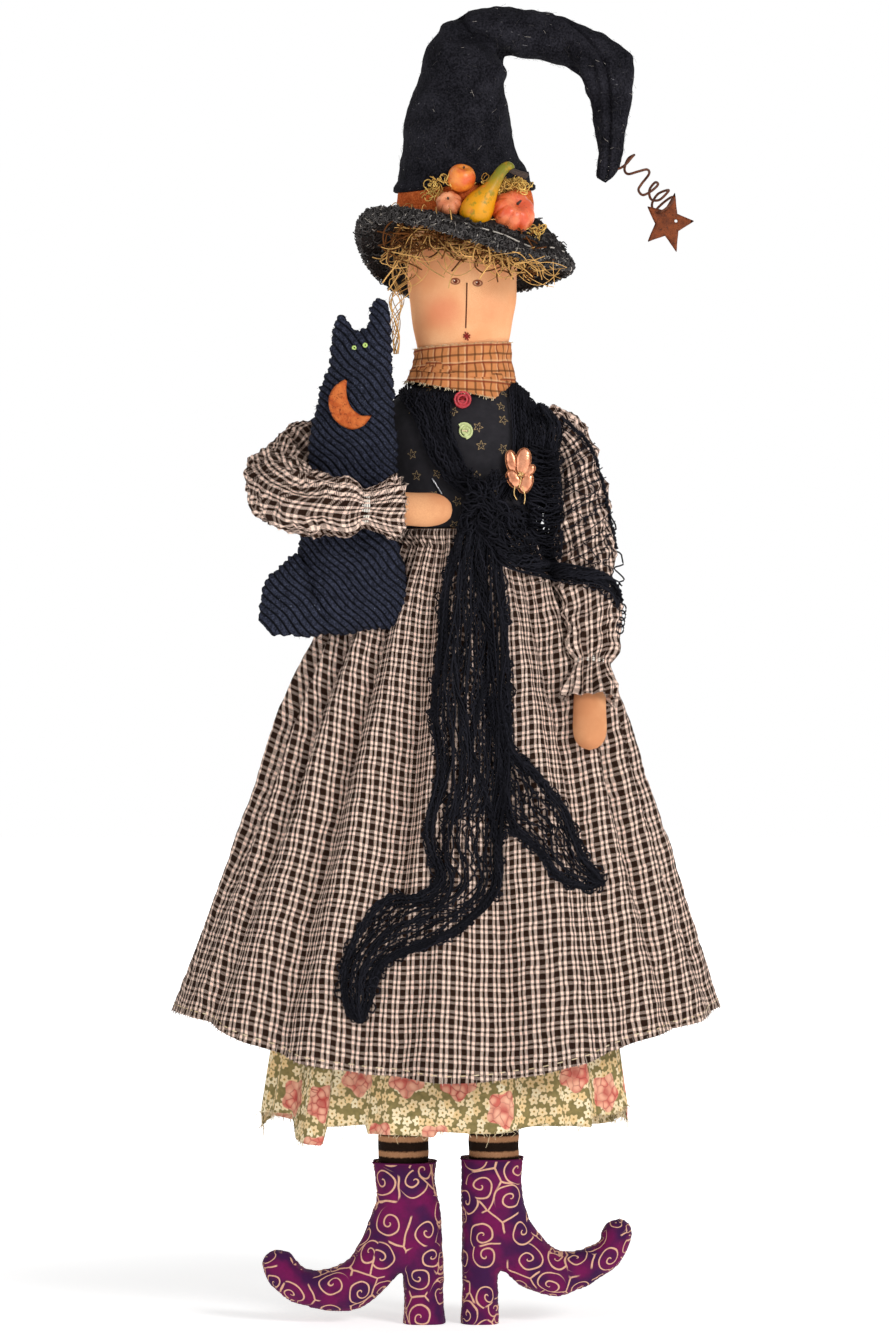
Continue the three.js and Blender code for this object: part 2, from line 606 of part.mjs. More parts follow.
addPiece("hat_filling", cutBy(crownForm(-FELT - GAP, 2), headForm(GAP)), fibre);
const springLead = wireForm(SPRING_POINTS.slice(0, SPRING_STEPS), SPRING_WIRE / 2 + GAP);
const springHole = joined(...[-1, -0.5, 0, 0.5, 1]
  .map((share) => turned(springLead, SPRING_START, [0, share * STAR_SWING, 0])));
const crownShell = cutBy(crownForm(0), crownForm(-FELT, 2, 1), springHole);
const crown = addPiece("hat_crown", crownShell, blackWool);
addPiece("star_spring", wireForm(SPRING_POINTS, SPRING_WIRE / 2), rust);

// Heights of the wavy brim's edge in shares of its droop, from the wearer's left round by the front.
const BRIM_SEAM = 0.14; // share of the brim's width that lies flat under the crown's edge
const BRIM_WAVE = [-0.66, -0.66, -0.3, 0, -0.19, -0.85, -0.95, -0.82];
function brimForm(grow) {
  const wave = new THREE.CatmullRomCurve3(BRIM_WAVE.map((rise, i) => point(i, rise, 0)), true);
  const count = 28;
  const half = BRIM_THICKNESS / 2 + grow;
  const sections = Array.from({ length: count }, (_, i) => {
    const angle = (2 * Math.PI * i) / count;
    const rise = (BRIM_DROOP * wave.getPoint(i / count).y) / (1 - BRIM_SEAM) ** 1.4;
    const out = point(Math.cos(angle), -Math.sin(angle), 0);
    const at = (share, height) => point(
      HAT_X + out.x * lerp(CROWN_HALF_WIDTH - FELT - 1 - grow, BRIM_HALF_WIDTH + grow, share),
      out.y * lerp(CROWN_HALF_DEPTH - FELT - 1 - grow, BRIM_HALF_DEPTH + grow, share),
      HAT_BASE - GAP - BRIM_THICKNESS / 2 + rise * Math.max(0, share - BRIM_SEAM) ** 1.4 + height,
    );
    return [at(0, half), at(BRIM_SEAM, half), at(0.45, half), at(0.85, half * 1.15), at(1, 0.5 * half),
      at(1, -0.5 * half), at(0.85, -half * 1.15), at(0.45, -half), at(BRIM_SEAM, -half), at(0, -half)];
  });
  return solid(closedLoft(sections));
}
addPiece("hat_brim", brimForm(0), shagWool);

const bandRoom = block(point(-FAR, -FAR, HAT_BASE + GAP), point(FAR, FAR, HAT_BASE + BAND_HEIGHT));
const BAND_OUT = GAP + BAND_THICKNESS;
const bandForm = cutBy(crownForm(BAND_OUT), crownForm(GAP, 0, 1)).intersect(bandRoom);
const band = addPiece("hat_band", bandForm, rustCloth);

// Fruit glued to the band and the brim's front, each set by its place in the front view.
const FRUIT_SINK = 3; // how far a fruit beds into the line of the band
const hatRoom = joined(crownForm(BAND_OUT + GAP), brimForm(GAP));
function onBand(x, rise, depth) {
  const { at } = frontOf(rise > BAND_HEIGHT ? crown : band, x, HAT_BASE + Math.max(rise, 2));
  return point(at.x, at.y - depth + FRUIT_SINK, HAT_BASE + rise);
}
const gourdAt = onBand(HAT_X + 0.2 * CROWN_HALF_WIDTH, 0, GOURD_RADIUS);
const alongGourd = ([x, z]) => point(gourdAt.x + x * GOURD_RADIUS, gourdAt.y, gourdAt.z + z * GOURD_RADIUS);
const gourdPath = [[-0.5, -0.9], [0, 0], [0.7, 1], [1.3, 1.8], [1.7, 2.4], [2.1, 2.6]].map(alongGourd);
function gourdForm(grow) {
  const radii = [0.4, 1, 0.84, 0.56, 0.46, 0.32].map((share) => share * GOURD_RADIUS + grow);
  return solid(loft(spineRings(gourdPath, radii.map((r) => [r, r]), 9, 10, Y_AXIS)));
}
const gourdStemPath = [[2.14, 2.6], [2.6, 2.5], [3.3, 2.2]].map(alongGourd);
function stemForm(grow) {
  const radii = [0.2, 0.16, 0.14].map((share) => share * GOURD_RADIUS + grow);
  return solid(loft(spineRings(gourdStemPath, radii.map((r) => [r, r]), 4, 8, Y_AXIS)));
}

// A ribbed pumpkin of some radius, seen from its side with its crown tilted forward.
function pumpkinForm(centre, radius, grow) {
  const ribs = 8;
  const sphere = new THREE.SphereGeometry(1, 2 * ribs, 6);
  const at = sphere.getAttribute("position");
  for (let i = 0; i < at.count; i++) {
    const angle = Math.atan2(at.getZ(i), at.getX(i));
    const swell = (radius + grow) * (1 + 0.05 * Math.cos(ribs * angle));
    at.setXYZ(i, at.getX(i) * swell, at.getY(i) * swell * 0.88, at.getZ(i) * swell);
  }
  return solid(sphere.rotateX(THREE.MathUtils.degToRad(20)).translate(centre.x, centre.y, centre.z));
}
const largePumpkinAt = onBand(HAT_X + 0.73 * CROWN_HALF_WIDTH, -0.1 * BAND_HEIGHT, LARGE_PUMPKIN);
const smallPumpkinAt = onBand(HAT_X - 0.25 * CROWN_HALF_WIDTH, 0.18 * BAND_HEIGHT, SMALL_PUMPKIN);
const roundFruitAt = onBand(HAT_X - 0.06 * CROWN_HALF_WIDTH, 1.08 * BAND_HEIGHT, ROUND_FRUIT);
addPiece("gourd", cutBy(gourdForm(0), hatRoom), gourdYellow);
addPiece("gourd_stem", cutBy(stemForm(0), gourdForm(GAP), hatRoom), gourdStemBrown);
const gourdRoom = joined(gourdForm(GAP), hatRoom);
addPiece("large_pumpkin", cutBy(pumpkinForm(largePumpkinAt, LARGE_PUMPKIN, 0), gourdRoom), pumpkinOrange);
addPiece("small_pumpkin", cutBy(pumpkinForm(smallPumpkinAt, SMALL_PUMPKIN, 0), gourdRoom), pumpkinOrange);
const otherFruit = joined(gourdForm(GAP), pumpkinForm(smallPumpkinAt, SMALL_PUMPKIN, GAP));
const roundForm = ball(roundFruitAt, ROUND_FRUIT, ROUND_FRUIT, ROUND_FRUIT);
addPiece("round_fruit", cutBy(roundForm, otherFruit, hatRoom), pumpkinOrange);

// Moss tucked between the fruit and the crown.
const mossAt = onBand(HAT_X + 0.57 * CROWN_HALF_WIDTH, 0.84 * BAND_HEIGHT, MOSS_RADIUS / 3);
const mossRoom = joined(otherFruit, pumpkinForm(largePumpkinAt, LARGE_PUMPKIN, GAP), stemForm(GAP), hatRoom);
const mossForm = ball(mossAt, MOSS_RADIUS, 0.67 * MOSS_RADIUS, 0.75 * MOSS_RADIUS);
addPiece("moss", cutBy(mossForm, mossRoom), mossYellow);

// The tin star at the end of the spring, turned a little from the front.
const STAR_TURN = THREE.MathUtils.degToRad(36);
const STAR_TILT = THREE.MathUtils.degToRad(76);
const starOutline = new THREE.Shape(Array.from({ length: 10 }, (_, i) => {
  const reach = i % 2 === 0 ? STAR_RADIUS : 0.42 * STAR_RADIUS;
  const angle = STAR_TILT + (i * Math.PI) / 5;
  return new THREE.Vector2(reach * Math.cos(angle), reach * Math.sin(angle));
}));
const springEnd = SPRING_POINTS.at(-1);
const STAR_HANG = [0.27 * STAR_RADIUS, -0.27 * STAR_RADIUS]; // star's middle from the spring's end
const starPlate = new THREE.ExtrudeGeometry(starOutline, { depth: STAR_THICKNESS, bevelEnabled: false })
  .translate(STAR_HANG[0], STAR_HANG[1], SPRING_WIRE / 2 + GAP)
  .rotateX(Math.PI / 2)
  .rotateZ(STAR_TURN)
  .translate(springEnd.x, springEnd.y, springEnd.z);
addPiece("rusty_star", cutBy(solid(starPlate), springHole), rust);

// Straw hair: a fringe under the brim and a lock at one side

const FRINGE_THICKNESS = 5.5;
const FRINGE_TOP = HAT_BASE - GAP;
const FRINGE_LENGTH = 38;
const FRINGE_SHARES = [0.53, 0.74, 1, 0.63, 0.84, 0.58]; // lengths repeated round the head
function fringeForm(grow) {
  const count = 24;
  const headWide = FACE_HALF_WIDTH + FRINGE_THICKNESS + grow;
  const headDeep = FACE_HALF_DEPTH + FRINGE_THICKNESS + grow;
  const top = levelRing(BODY_X, 0, FRINGE_TOP + grow, headWide - 2, headDeep - 2, count);
  const tips = levelRing(BODY_X, 0, FRINGE_TOP, headWide, headDeep, count)
    .map((p, i) => point(p.x, p.y, p.z - grow - FRINGE_LENGTH * FRINGE_SHARES[i % FRINGE_SHARES.length]));
  return solid(loft([top, tips]));
}
addPiece("hair_fringe", cutBy(fringeForm(0), headForm(GAP), brimForm(GAP)), straw);
const LOCK_HALF = 3;
const LOCK_LENGTH = 90;
const lockPath = [[-0.02, 0, -0.16], [-0.08, -0.02, -0.33], [-0.12, -0.04, -0.58], [-0.09, -0.05, -0.87],
  [-0.07, -0.05, -1]]
  .map((share) => point(...share).multiplyScalar(LOCK_LENGTH))
  .map((offset) => offset.add(point(BODY_X - FACE_HALF_WIDTH - FRINGE_THICKNESS, 0, HAT_BASE)));
const lockRadii = [1, 1.33, 1, 0.67, 0.27].map((share) => share * LOCK_HALF);
const lockForm = solid(loft(spineRings(lockPath, lockRadii.map((r) => [r, r]), 10, 8, Y_AXIS)));
addPiece("hair_lock", cutBy(lockForm, fringeForm(GAP), headForm(GAP), brimForm(GAP)), straw);

// Cat: body with ears, tail, eyes and a tin moon

function catForm(grow) {
  const rise = (share) => CAT_BASE + share * CAT_HEIGHT;
  const sections = [
    [CAT_BASE - grow, 0.6 * CAT_HALF_WIDTH, 0.5 * CAT_HALF_DEPTH, CAT_X + 1],
    [rise(0.05), CAT_HALF_WIDTH, 0.92 * CAT_HALF_DEPTH, CAT_X + 1],
    [rise(0.22), CAT_HALF_WIDTH, CAT_HALF_DEPTH, CAT_X - 1],
    [rise(0.48), 0.8 * CAT_HALF_WIDTH, 0.9 * CAT_HALF_DEPTH, CAT_X - 1],
    [rise(0.68), 0.67 * CAT_HALF_WIDTH, 0.76 * CAT_HALF_DEPTH, CAT_X + 3],
    [rise(0.84), CAT_HEAD_HALF_WIDTH, CAT_HEAD_HALF_DEPTH, CAT_X + 6],
    [rise(0.94), CAT_HEAD_HALF_WIDTH, CAT_HEAD_HALF_DEPTH, CAT_X + 6],
    [rise(1) + grow, 0.7 * CAT_HEAD_HALF_WIDTH, 0.4 * CAT_HEAD_HALF_DEPTH, CAT_X + 6],
  ];
  const grown = sections.map(([z, w, d, x]) => [z, w + grow, d + grow, x, CAT_Y]);
  const skin = solid(loft(stackRings(grown, 10, 14)));
  const ears = [[-0.62, 0.78], [0.6, 1.15]].map(([share, tall]) => {
    const x = CAT_X + 6 + share * CAT_HEAD_HALF_WIDTH;
    const lean = 0.06 * CAT_EAR_HEIGHT * Math.sign(share);
    const path = [0, 0.5, 1]
      .map((up) => point(x + up * lean, CAT_Y, rise(0.93) + up * tall * CAT_EAR_HEIGHT));
    const halves = [[0.44, 0.36], [0.33, 0.28], [0.1, 0.1]]
      .map((half) => half.map((part) => part * CAT_HEAD_HALF_WIDTH + grow));
    return solid(loft(spineRings(path, halves, 2, 8, Y_AXIS)));
  });
  return joined(skin, ...ears);
}
const bodyRoom = joined(torsoForm(BODICE_OUT + GAP), skirtForm(GAP));
const cat = addPiece("cat_body", cutBy(catForm(0), bodyRoom), corduroy);
const tailPath = [[-0.83, 0.3], [-1.22, 0.22], [-1.28, 0.12], [-1.06, 0.053], [-0.67, 0.044]]
  .map(([x, z]) => point(CAT_X + x * CAT_HALF_WIDTH, CAT_Y - CAT_TAIL_RADIUS / 3, CAT_BASE + z * CAT_HEIGHT));
const tailRadii = [0.55, 0.95, 1, 0.95, 0.5].map((share) => share * CAT_TAIL_RADIUS);
const tailForm = solid(loft(spineRings(tailPath, tailRadii.map((r) => [r, r]), 7, 10, Y_AXIS)));
addPiece("cat_tail", cutBy(tailForm, catForm(GAP), bodyRoom), corduroy);

const EYE_PLACES = {
  left: [CAT_X + 0.46 * CAT_HEAD_HALF_WIDTH, CAT_BASE + 0.915 * CAT_HEIGHT],
  right: [CAT_X + 0.08 * CAT_HEAD_HALF_WIDTH, CAT_BASE + 0.91 * CAT_HEIGHT],
};
for (const [name, [x, z]] of Object.entries(EYE_PLACES)) {
  const { at, normal } = frontOf(cat, x, z);
  const bead = at.addScaledVector(normal, BEAD_RADIUS + GAP);
  addPiece(`cat_eye_${name}`, ball(bead, BEAD_RADIUS, BEAD_RADIUS, BEAD_RADIUS, 10, 6), greenGlass);
}

// A crescent: the outer arc, and the inner arc of a circle set off to one side.
const moonSeat = frontOf(cat, CAT_X - 2, CAT_BASE + 0.73 * CAT_HEIGHT);
const MOON_LEAN = THREE.MathUtils.degToRad(-32);
const moonOutline = new THREE.Shape();
const HORN = THREE.MathUtils.degToRad(62);
moonOutline.absarc(0, 0, MOON_RADIUS, HORN, 2 * Math.PI - HORN, false);
const hornUp = MOON_RADIUS * Math.sin(HORN);
const innerX = MOON_RADIUS * Math.cos(HORN) + 0.42 * hornUp;
const innerRadius = Math.hypot(hornUp, 0.42 * hornUp);
const innerTurn = Math.atan2(hornUp, -0.42 * hornUp);
moonOutline.absarc(innerX, 0, innerRadius, 2 * Math.PI - innerTurn, innerTurn, true);
const moonSheet = { depth: MOON_THICKNESS, bevelEnabled: false, curveSegments: 7 };
const moonPlate = new THREE.ExtrudeGeometry(moonOutline, moonSheet).rotateZ(-MOON_LEAN);
const moonAt = moonSeat.at.clone().addScaledVector(moonSeat.normal, GAP);
moonPlate.rotateX(Math.PI / 2).translate(moonAt.x, moonAt.y - 1.5, moonAt.z);
addPiece("cat_moon", cutBy(solid(moonPlate), catForm(GAP)), rust);

// Arms and sleeves

const leftArmhole = BODY_X + CHEST_HALF_WIDTH + BODICE_OUT + ARMHOLE_CLEARANCE;
const rightArmhole = BODY_X - CHEST_HALF_WIDTH - BODICE_OUT - ARMHOLE_CLEARANCE;
const FOREARM_FRONT = CAT_Y - CAT_HALF_DEPTH; // the cat's front, which the forearm crosses
const onArm = (x, y, z) => point(x, y, z).multiplyScalar(ARM_LENGTH);
const ARMS = {
  left: {
    path: [[-0.05, 0, 0.04], [0.045, -0.01, -0.04], [0.09, -0.045, -0.26], [0.115, -0.1, -0.46],
      [0.125, -0.15, -0.61], [0.125, -0.19, -0.725], [0.12, -0.27, -1]]
      .map((share) => onArm(...share).add(point(leftArmhole, 0, SHOULDER_HEIGHT))),
    puff: [0.8, 1, 1.08, 1, 0.92],
    elbow: 3,
    frillShare: 0.42, // how far down the hand the cuff's frill reaches
    depthAxis: Y_AXIS,
  },
  right: {
    path: [
      onArm(0.05, 0.02, 0.02),
      onArm(-0.19, 0.01, -0.03),
      onArm(-0.3, -0.15, -0.13),
      onArm(-0.25, 0, -0.2).setY(FOREARM_FRONT - 0.65 * SLEEVE_PUFF),
      onArm(-0.14, 0, -0.225).setY(FOREARM_FRONT - 1.05 * SLEEVE_PUFF),
      onArm(-0.03, 0, -0.23).setY(FOREARM_FRONT - 0.95 * SLEEVE_PUFF),
      onArm(0.25, 0, -0.235).setY(FOREARM_FRONT + 0.1 * SLEEVE_PUFF),
    ].map((offset) => offset.add(point(rightArmhole, 0, SHOULDER_HEIGHT))),
    puff: [0.8, 1, 1.15, 1, 0.95],
    elbow: 2,
    frillShare: 0.55,
    depthAxis: Z_AXIS,
  },
};

// A stuffed arm with a rounded hand at its end.
function armForm({ path, depthAxis }, grow) {
  const tip = path.at(-1).clone().sub(path.at(-2)).normalize();
  const full = [...path, path.at(-1).clone().addScaledVector(tip, 0.7 * ARM_RADIUS)];
  const halves = full.map((_, i) => {
    const share = i === 0 ? 0.7 : i === full.length - 1 ? 0.35 : i === full.length - 2 ? 0.92 : 1;
    return [share * ARM_RADIUS + grow, share * ARM_RADIUS + grow];
  });
  return solid(loft(spineRings(full, halves, 2 * full.length, 10, depthAxis)));
}

// A puffed sleeve in two lengths that meet at the elbow.
// It is drawn in at the wrist, with a frill past the gathering.
function sleeveForm({ path, puff, elbow, frillShare, depthAxis }, grow) {
  const wrist = path.at(-2);
  const before = wrist.clone().lerp(path.at(-3), 0.45);
  const frill = wrist.clone().lerp(path.at(-1), frillShare);
  const line = [...path.slice(0, puff.length), before, wrist, frill];
  const halves = [...puff.map((share) => share * SLEEVE_PUFF), 0.9 * SLEEVE_PUFF, CUFF_RADIUS, RUFFLE_RADIUS];
  const rounds = halves.map((half) => [half + grow, half + grow]);
  const folds = 7;
  const ripple = (t, angle) => 1 + 0.07 * t * t * Math.cos(folds * angle);
  const upper = spineRings(line.slice(0, elbow + 1), rounds.slice(0, elbow + 1), elbow + 2, 14, depthAxis);
  const steps = line.length - elbow + 2;
  const lower = spineRings(line.slice(elbow), rounds.slice(elbow), steps, 14, depthAxis, ripple);
  const bend = rounds[elbow][0];
  return joined(solid(loft(upper)), solid(loft(lower)), ball(line[elbow], bend, bend, bend));
}

// A flat-sided ring about a path point, for the elastic in a cuff.
function elasticForm({ path, depthAxis }, grow) {
  const wrist = path.at(-2);
  const along = path.at(-1).clone().sub(path.at(-3)).normalize();
  const across = depthAxis.clone().cross(along).normalize();
  const deep = along.clone().cross(across);
  const middle = ARM_RADIUS + GAP + ELASTIC_WIRE / 2;
  const half = ELASTIC_WIRE / 2 + grow;
  const sections = Array.from({ length: 10 }, (_, i) => {
    const angle = (2 * Math.PI * i) / 10;
    const out = across.clone().multiplyScalar(Math.cos(angle)).addScaledVector(deep, Math.sin(angle));
    return [[-half, -half], [half, -half], [half, half], [-half, half]].map(([radial, axial]) =>
      wrist.clone().addScaledVector(out, middle + radial).addScaledVector(along, axial));
  });
  return solid(closedLoft(sections));
}

const armholePlanes = {
  left: block(point(-FAR, -FAR, 0), point(leftArmhole, FAR, FAR * 3)),
  right: block(point(rightArmhole, -0.4 * CHEST_HALF_DEPTH, 0), point(FAR, FAR, FAR * 3)),
};
const catRoom = joined(catForm(GAP), bodyRoom);
const sleeves = {};
for (const name of ["left", "right"]) {
  const arm = ARMS[name];
  addPiece(`${name}_arm`, cutBy(armForm(arm, 0), armholePlanes[name], catRoom), muslin);
  addPiece(`${name}_cuff_elastic`, cutBy(elasticForm(arm, 0), armForm(arm, GAP), catRoom), fibre);
  const inside = joined(armForm(arm, GAP), elasticForm(arm, GAP));
  sleeves[name] = cutBy(sleeveForm(arm, 0), inside, armholePlanes[name], catRoom);
  addPiece(`${name}_sleeve`, sleeves[name], checkCotton);
}

// Knitted shawl: round the shoulders, down the front to a knot, with two tails and a drape over one arm

const SHAWL_IN = BODICE_OUT + GAP;
const shawlOverTorso = cutBy(torsoForm(SHAWL_IN + KNIT), torsoForm(SHAWL_IN), scarfForm(GAP));
// Front strips as (share of the chest's half width, share of the way from waist to neck).
const FRONT_STRIPS = [
  [[-0.83, 1.06], [-0.35, 1.06], [0.06, 0.61], [0.2, 0.24], [-0.06, 0.21], [-0.39, 0.5], [-0.69, 0.83]],
  [[0.54, 1.06], [0.94, 0.98], [0.94, 0.5], [0.8, 0.28], [0.54, 0.21], [0.5, 0.37], [0.63, 0.61]],
].map((outline) => outline.map(([x, z]) => [BODY_X + x * CHEST_HALF_WIDTH, lerp(WAIST_HEIGHT, TORSO_TOP, z)]))
  .map((outline) => frontOutline(outline, -FAR, 0));
const shawlBack = block(point(-FAR, -2, lerp(WAIST_HEIGHT, CHEST_HEIGHT, 0.58)), point(FAR, FAR, FAR * 2));
const sideRoom = block(point(rightArmhole + GAP, -FAR, 0), point(leftArmhole - GAP, FAR, FAR * 2));
const shawlWrap = shawlOverTorso.intersect(joined(...FRONT_STRIPS, shawlBack)).intersect(sideRoom);
const catMoving = catForm(3);
const shawl = addPiece("shawl_wrap", cutBy(shawlWrap, catMoving), blackKnit);

const frontRoom = joined(torsoForm(SHAWL_IN), skirtForm(GAP));
const handRoom = armForm(ARMS.right, 1);
const knotFront = -WAIST_HALF_DEPTH - BODICE_OUT - KNIT;
const knotAt = point(BODY_X + 0.17 * CHEST_HALF_WIDTH, knotFront, WAIST_HEIGHT + 0.5 * KNOT_RADIUS);
const knotHalves = [1, 0.56, 0.75].map((share) => share * KNOT_RADIUS);
const knotForm = (grow) => ball(knotAt, ...knotHalves.map((half) => half + grow));
const wrapRoom = torsoForm(SHAWL_IN + KNIT + GAP).intersect(joined(...FRONT_STRIPS));
addPiece("shawl_knot", cutBy(knotForm(0), frontRoom, wrapRoom, handRoom), blackKnit);

// A hanging tail laid on the skirt's front.
// Its points are shares of the skirt's half width, of its height and of the tail's half width.
function tailSolid(shares, grow) {
  const points = shares.map(([x, down]) => [x * SKIRT_HALF_WIDTH, lerp(WAIST_HEIGHT, SKIRT_FRONT_HEM, down)]);
  const path = points.map(([x, z]) => point(x, frontOf(skirt, x, z).at.y - GAP, z));
  const halves = shares.map(([, , half]) => [half * TAIL_HALF_WIDTH + grow, 1.6 * KNIT + grow]);
  return solid(loft(spineRings(path, halves, 2 * shares.length, 8, Y_AXIS)));
}
const LONG_TAIL = [[0.118, 0.012, 0.38], [0.082, 0.125, 0.73], [0.053, 0.267, 0.81], [0.035, 0.409, 0.92],
  [0.047, 0.551, 1], [0.07, 0.665, 0.85], [0.035, 0.744, 0.58], [-0.13, 0.79, 0.46], [-0.27, 0.841, 0.35],
  [-0.33, 0.886, 0.19]];
const SHORT_TAIL = [[0.153, 0.403, 0.31], [0.282, 0.48, 0.58], [0.4, 0.557, 0.54], [0.518, 0.625, 0.35],
  [0.576, 0.653, 0.12]];
const longTailRoom = joined(frontRoom, knotForm(GAP), wrapRoom, handRoom);
addPiece("shawl_long_tail", cutBy(tailSolid(LONG_TAIL, 0), longTailRoom), blackKnit);
const shortTail = cutBy(tailSolid(SHORT_TAIL, 0), tailSolid(LONG_TAIL, GAP), frontRoom);
addPiece("shawl_short_tail", shortTail, blackKnit);

const drapeBottom = SHOULDER_HEIGHT - 0.46 * ARM_LENGTH;
const drapeRoom = block(point(leftArmhole, -FAR, drapeBottom), point(FAR, FAR, FAR * 2));
const drape = cutBy(sleeveForm(ARMS.left, KNIT), sleeveForm(ARMS.left, GAP), bodyRoom).intersect(drapeRoom);
addPiece("shawl_arm_drape", drape, blackKnit);

// Buttons with their stitches, and a petalled brooch with its pin

function buttonOutline() {
  const outline = new THREE.Shape().absarc(0, 0, BUTTON_RADIUS, 0, 2 * Math.PI, false);
  for (const x of [-BUTTON_HOLE_SPREAD, BUTTON_HOLE_SPREAD]) {
    outline.holes.push(new THREE.Path().absarc(x, 0, BUTTON_HOLE, 0, 2 * Math.PI, true));
  }
  return outline;
}
const TOP_BUTTON = NECK_PIVOT - SCARF_DROP - BUTTON_BELOW_SCARF - BUTTON_RADIUS;
const buttonRoom = joined(torsoForm(BODICE_OUT + GAP / 2), wrapRoom);
const buttonSheet = { depth: BUTTON_THICKNESS, bevelEnabled: false, curveSegments: 8 };
const buttonSeats = {
  red: { x: BODY_X, z: TOP_BUTTON, material: redPlastic },
  green: { x: BODY_X + 1, z: TOP_BUTTON - BUTTON_PITCH, material: greenPlastic },
};
for (const [name, { x, z, material }] of Object.entries(buttonSeats)) {
  const { at, normal } = frontOf(bodice, x, z);
  const disc = new THREE.ExtrudeGeometry(buttonOutline(), buttonSheet).translate(0, 0, GAP);
  const stitchRadius = BUTTON_HOLE - GAP;
  const stitchTop = GAP + BUTTON_THICKNESS + GAP;
  const legs = [-1, 1].map((side) => new THREE.CylinderGeometry(stitchRadius, stitchRadius, stitchTop, 6)
    .rotateX(Math.PI / 2).translate(side * BUTTON_HOLE_SPREAD, 0, stitchTop / 2 + GAP / 2));
  const bar = new THREE.BoxGeometry(2 * BUTTON_HOLE_SPREAD + stitchRadius, stitchRadius, stitchRadius)
    .translate(0, 0, stitchTop + stitchRadius / 2);
  const stitch = joined(...[...legs, bar].map((length) => solid(seated(length, at, normal))));
  addPiece(`${name}_button`, cutBy(solid(seated(disc, at, normal)), buttonRoom), material);
  addPiece(`${name}_button_stitch`, cutBy(stitch, buttonRoom), thread);
}

const broochSeat = frontOf(shawl, BODY_X + 0.69 * CHEST_HALF_WIDTH, lerp(WAIST_HEIGHT, TORSO_TOP, 0.45));
const PIN_RADIUS = 0.8;
const petals = Array.from({ length: 5 }, (_, i) => {
  const petal = new THREE.SphereGeometry(1, 8, 5);
  petal.scale(PETAL_HALF_WIDTH, 0.6 * PETAL_LENGTH, PETAL_THICKNESS);
  return solid(seated(petal.translate(0, 0.62 * PETAL_LENGTH, 0).rotateZ((2 * Math.PI * i) / 5 + 0.3)
    .translate(0, 0, GAP + 2 * PIN_RADIUS + GAP + PETAL_THICKNESS), broochSeat.at, broochSeat.normal));
});
const pinBar = new THREE.CylinderGeometry(PIN_RADIUS, PIN_RADIUS, 1.5 * PETAL_LENGTH, 8)
  .translate(0, 0, GAP + PIN_RADIUS);
const flower = joined(...petals);
const stamen = new THREE.SphereGeometry(1.8, 10, 7)
  .translate(0, 0, GAP + 2 * PIN_RADIUS + 2 * GAP + 2 * PETAL_THICKNESS + 1.2);
const broochRoom = torsoForm(SHAWL_IN + KNIT + GAP);
const pinSolid = cutBy(solid(seated(pinBar, broochSeat.at, broochSeat.normal)), broochRoom);
const stamenSolid = solid(seated(stamen, broochSeat.at, broochSeat.normal));
addPiece("brooch_pin", pinSolid, steel);
addPiece("brooch_stamen", stamenSolid, copper);
addPiece("brooch_flower", cutBy(flower, stamenSolid, pinSolid, broochRoom), copper);

export default doll;
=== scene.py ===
import math

import bmesh
import bpy
import numpy as np
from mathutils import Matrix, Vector
from mathutils.bvhtree import BVHTree
from mathutils.geometry import delaunay_2d_cdt


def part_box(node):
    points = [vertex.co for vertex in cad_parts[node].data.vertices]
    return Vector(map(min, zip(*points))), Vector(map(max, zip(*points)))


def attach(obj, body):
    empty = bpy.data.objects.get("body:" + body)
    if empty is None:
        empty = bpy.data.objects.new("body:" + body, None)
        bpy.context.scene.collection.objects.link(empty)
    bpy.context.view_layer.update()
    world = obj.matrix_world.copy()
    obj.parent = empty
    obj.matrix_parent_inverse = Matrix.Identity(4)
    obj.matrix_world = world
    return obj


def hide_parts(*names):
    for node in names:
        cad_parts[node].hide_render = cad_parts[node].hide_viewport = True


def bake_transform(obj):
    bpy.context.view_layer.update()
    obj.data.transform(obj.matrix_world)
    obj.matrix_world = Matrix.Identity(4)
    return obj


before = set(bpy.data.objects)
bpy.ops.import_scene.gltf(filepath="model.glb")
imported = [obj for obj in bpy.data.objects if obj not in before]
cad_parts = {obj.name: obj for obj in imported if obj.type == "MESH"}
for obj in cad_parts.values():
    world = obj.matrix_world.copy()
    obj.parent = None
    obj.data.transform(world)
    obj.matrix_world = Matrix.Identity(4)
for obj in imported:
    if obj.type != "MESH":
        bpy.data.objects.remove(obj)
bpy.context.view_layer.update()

# All shapes below are written in millimetres: x to the photograph's right, z up, front at -y
MM = 0.001
TAU = 2 * math.pi
rng = np.random.default_rng(11)

# The photograph: size of a pixel at y = 0, its middle pixel, and where its camera stands
PIXEL = 0.65
MIDDLE_PX, MIDDLE_PY = 444.5, 666.5
CAMERA_X, CAMERA_Z, CAMERA_AWAY = -0.65, 425.4, 3200

# Middles and depths of the doll's parts, and the repeats of its cloths
BODY_X = 11.0
WAIST = 514.0
HAT_X = 12.7
LEGS_Y = -9.0
CAT_Y = -38.0
FACE_Y = -27
CHECK_REPEAT = 9.3
WALE = 4.2
WALE_WAY = (0.72, 0.69)
# A depth clear in front of the whole doll
IN_FRONT = -400


def at_photo(px, py, y=0.0):
    """The point that the photograph shows at a pixel, at depth y."""
    scale = PIXEL * (1 + y / CAMERA_AWAY)
    return np.array([(px - MIDDLE_PX) * scale + CAMERA_X, y, (MIDDLE_PY - py) * scale + CAMERA_Z])


def flat_pixels(pixels, y):
    """Pixels as (x, z) points at depth y."""
    return np.array([at_photo(*q, y)[[0, 2]] for q in pixels])


def unit(v):
    return v / np.maximum(np.linalg.norm(v, axis=-1, keepdims=True), 1e-9)


def lerp(a, b, t):
    return a + (b - a) * t


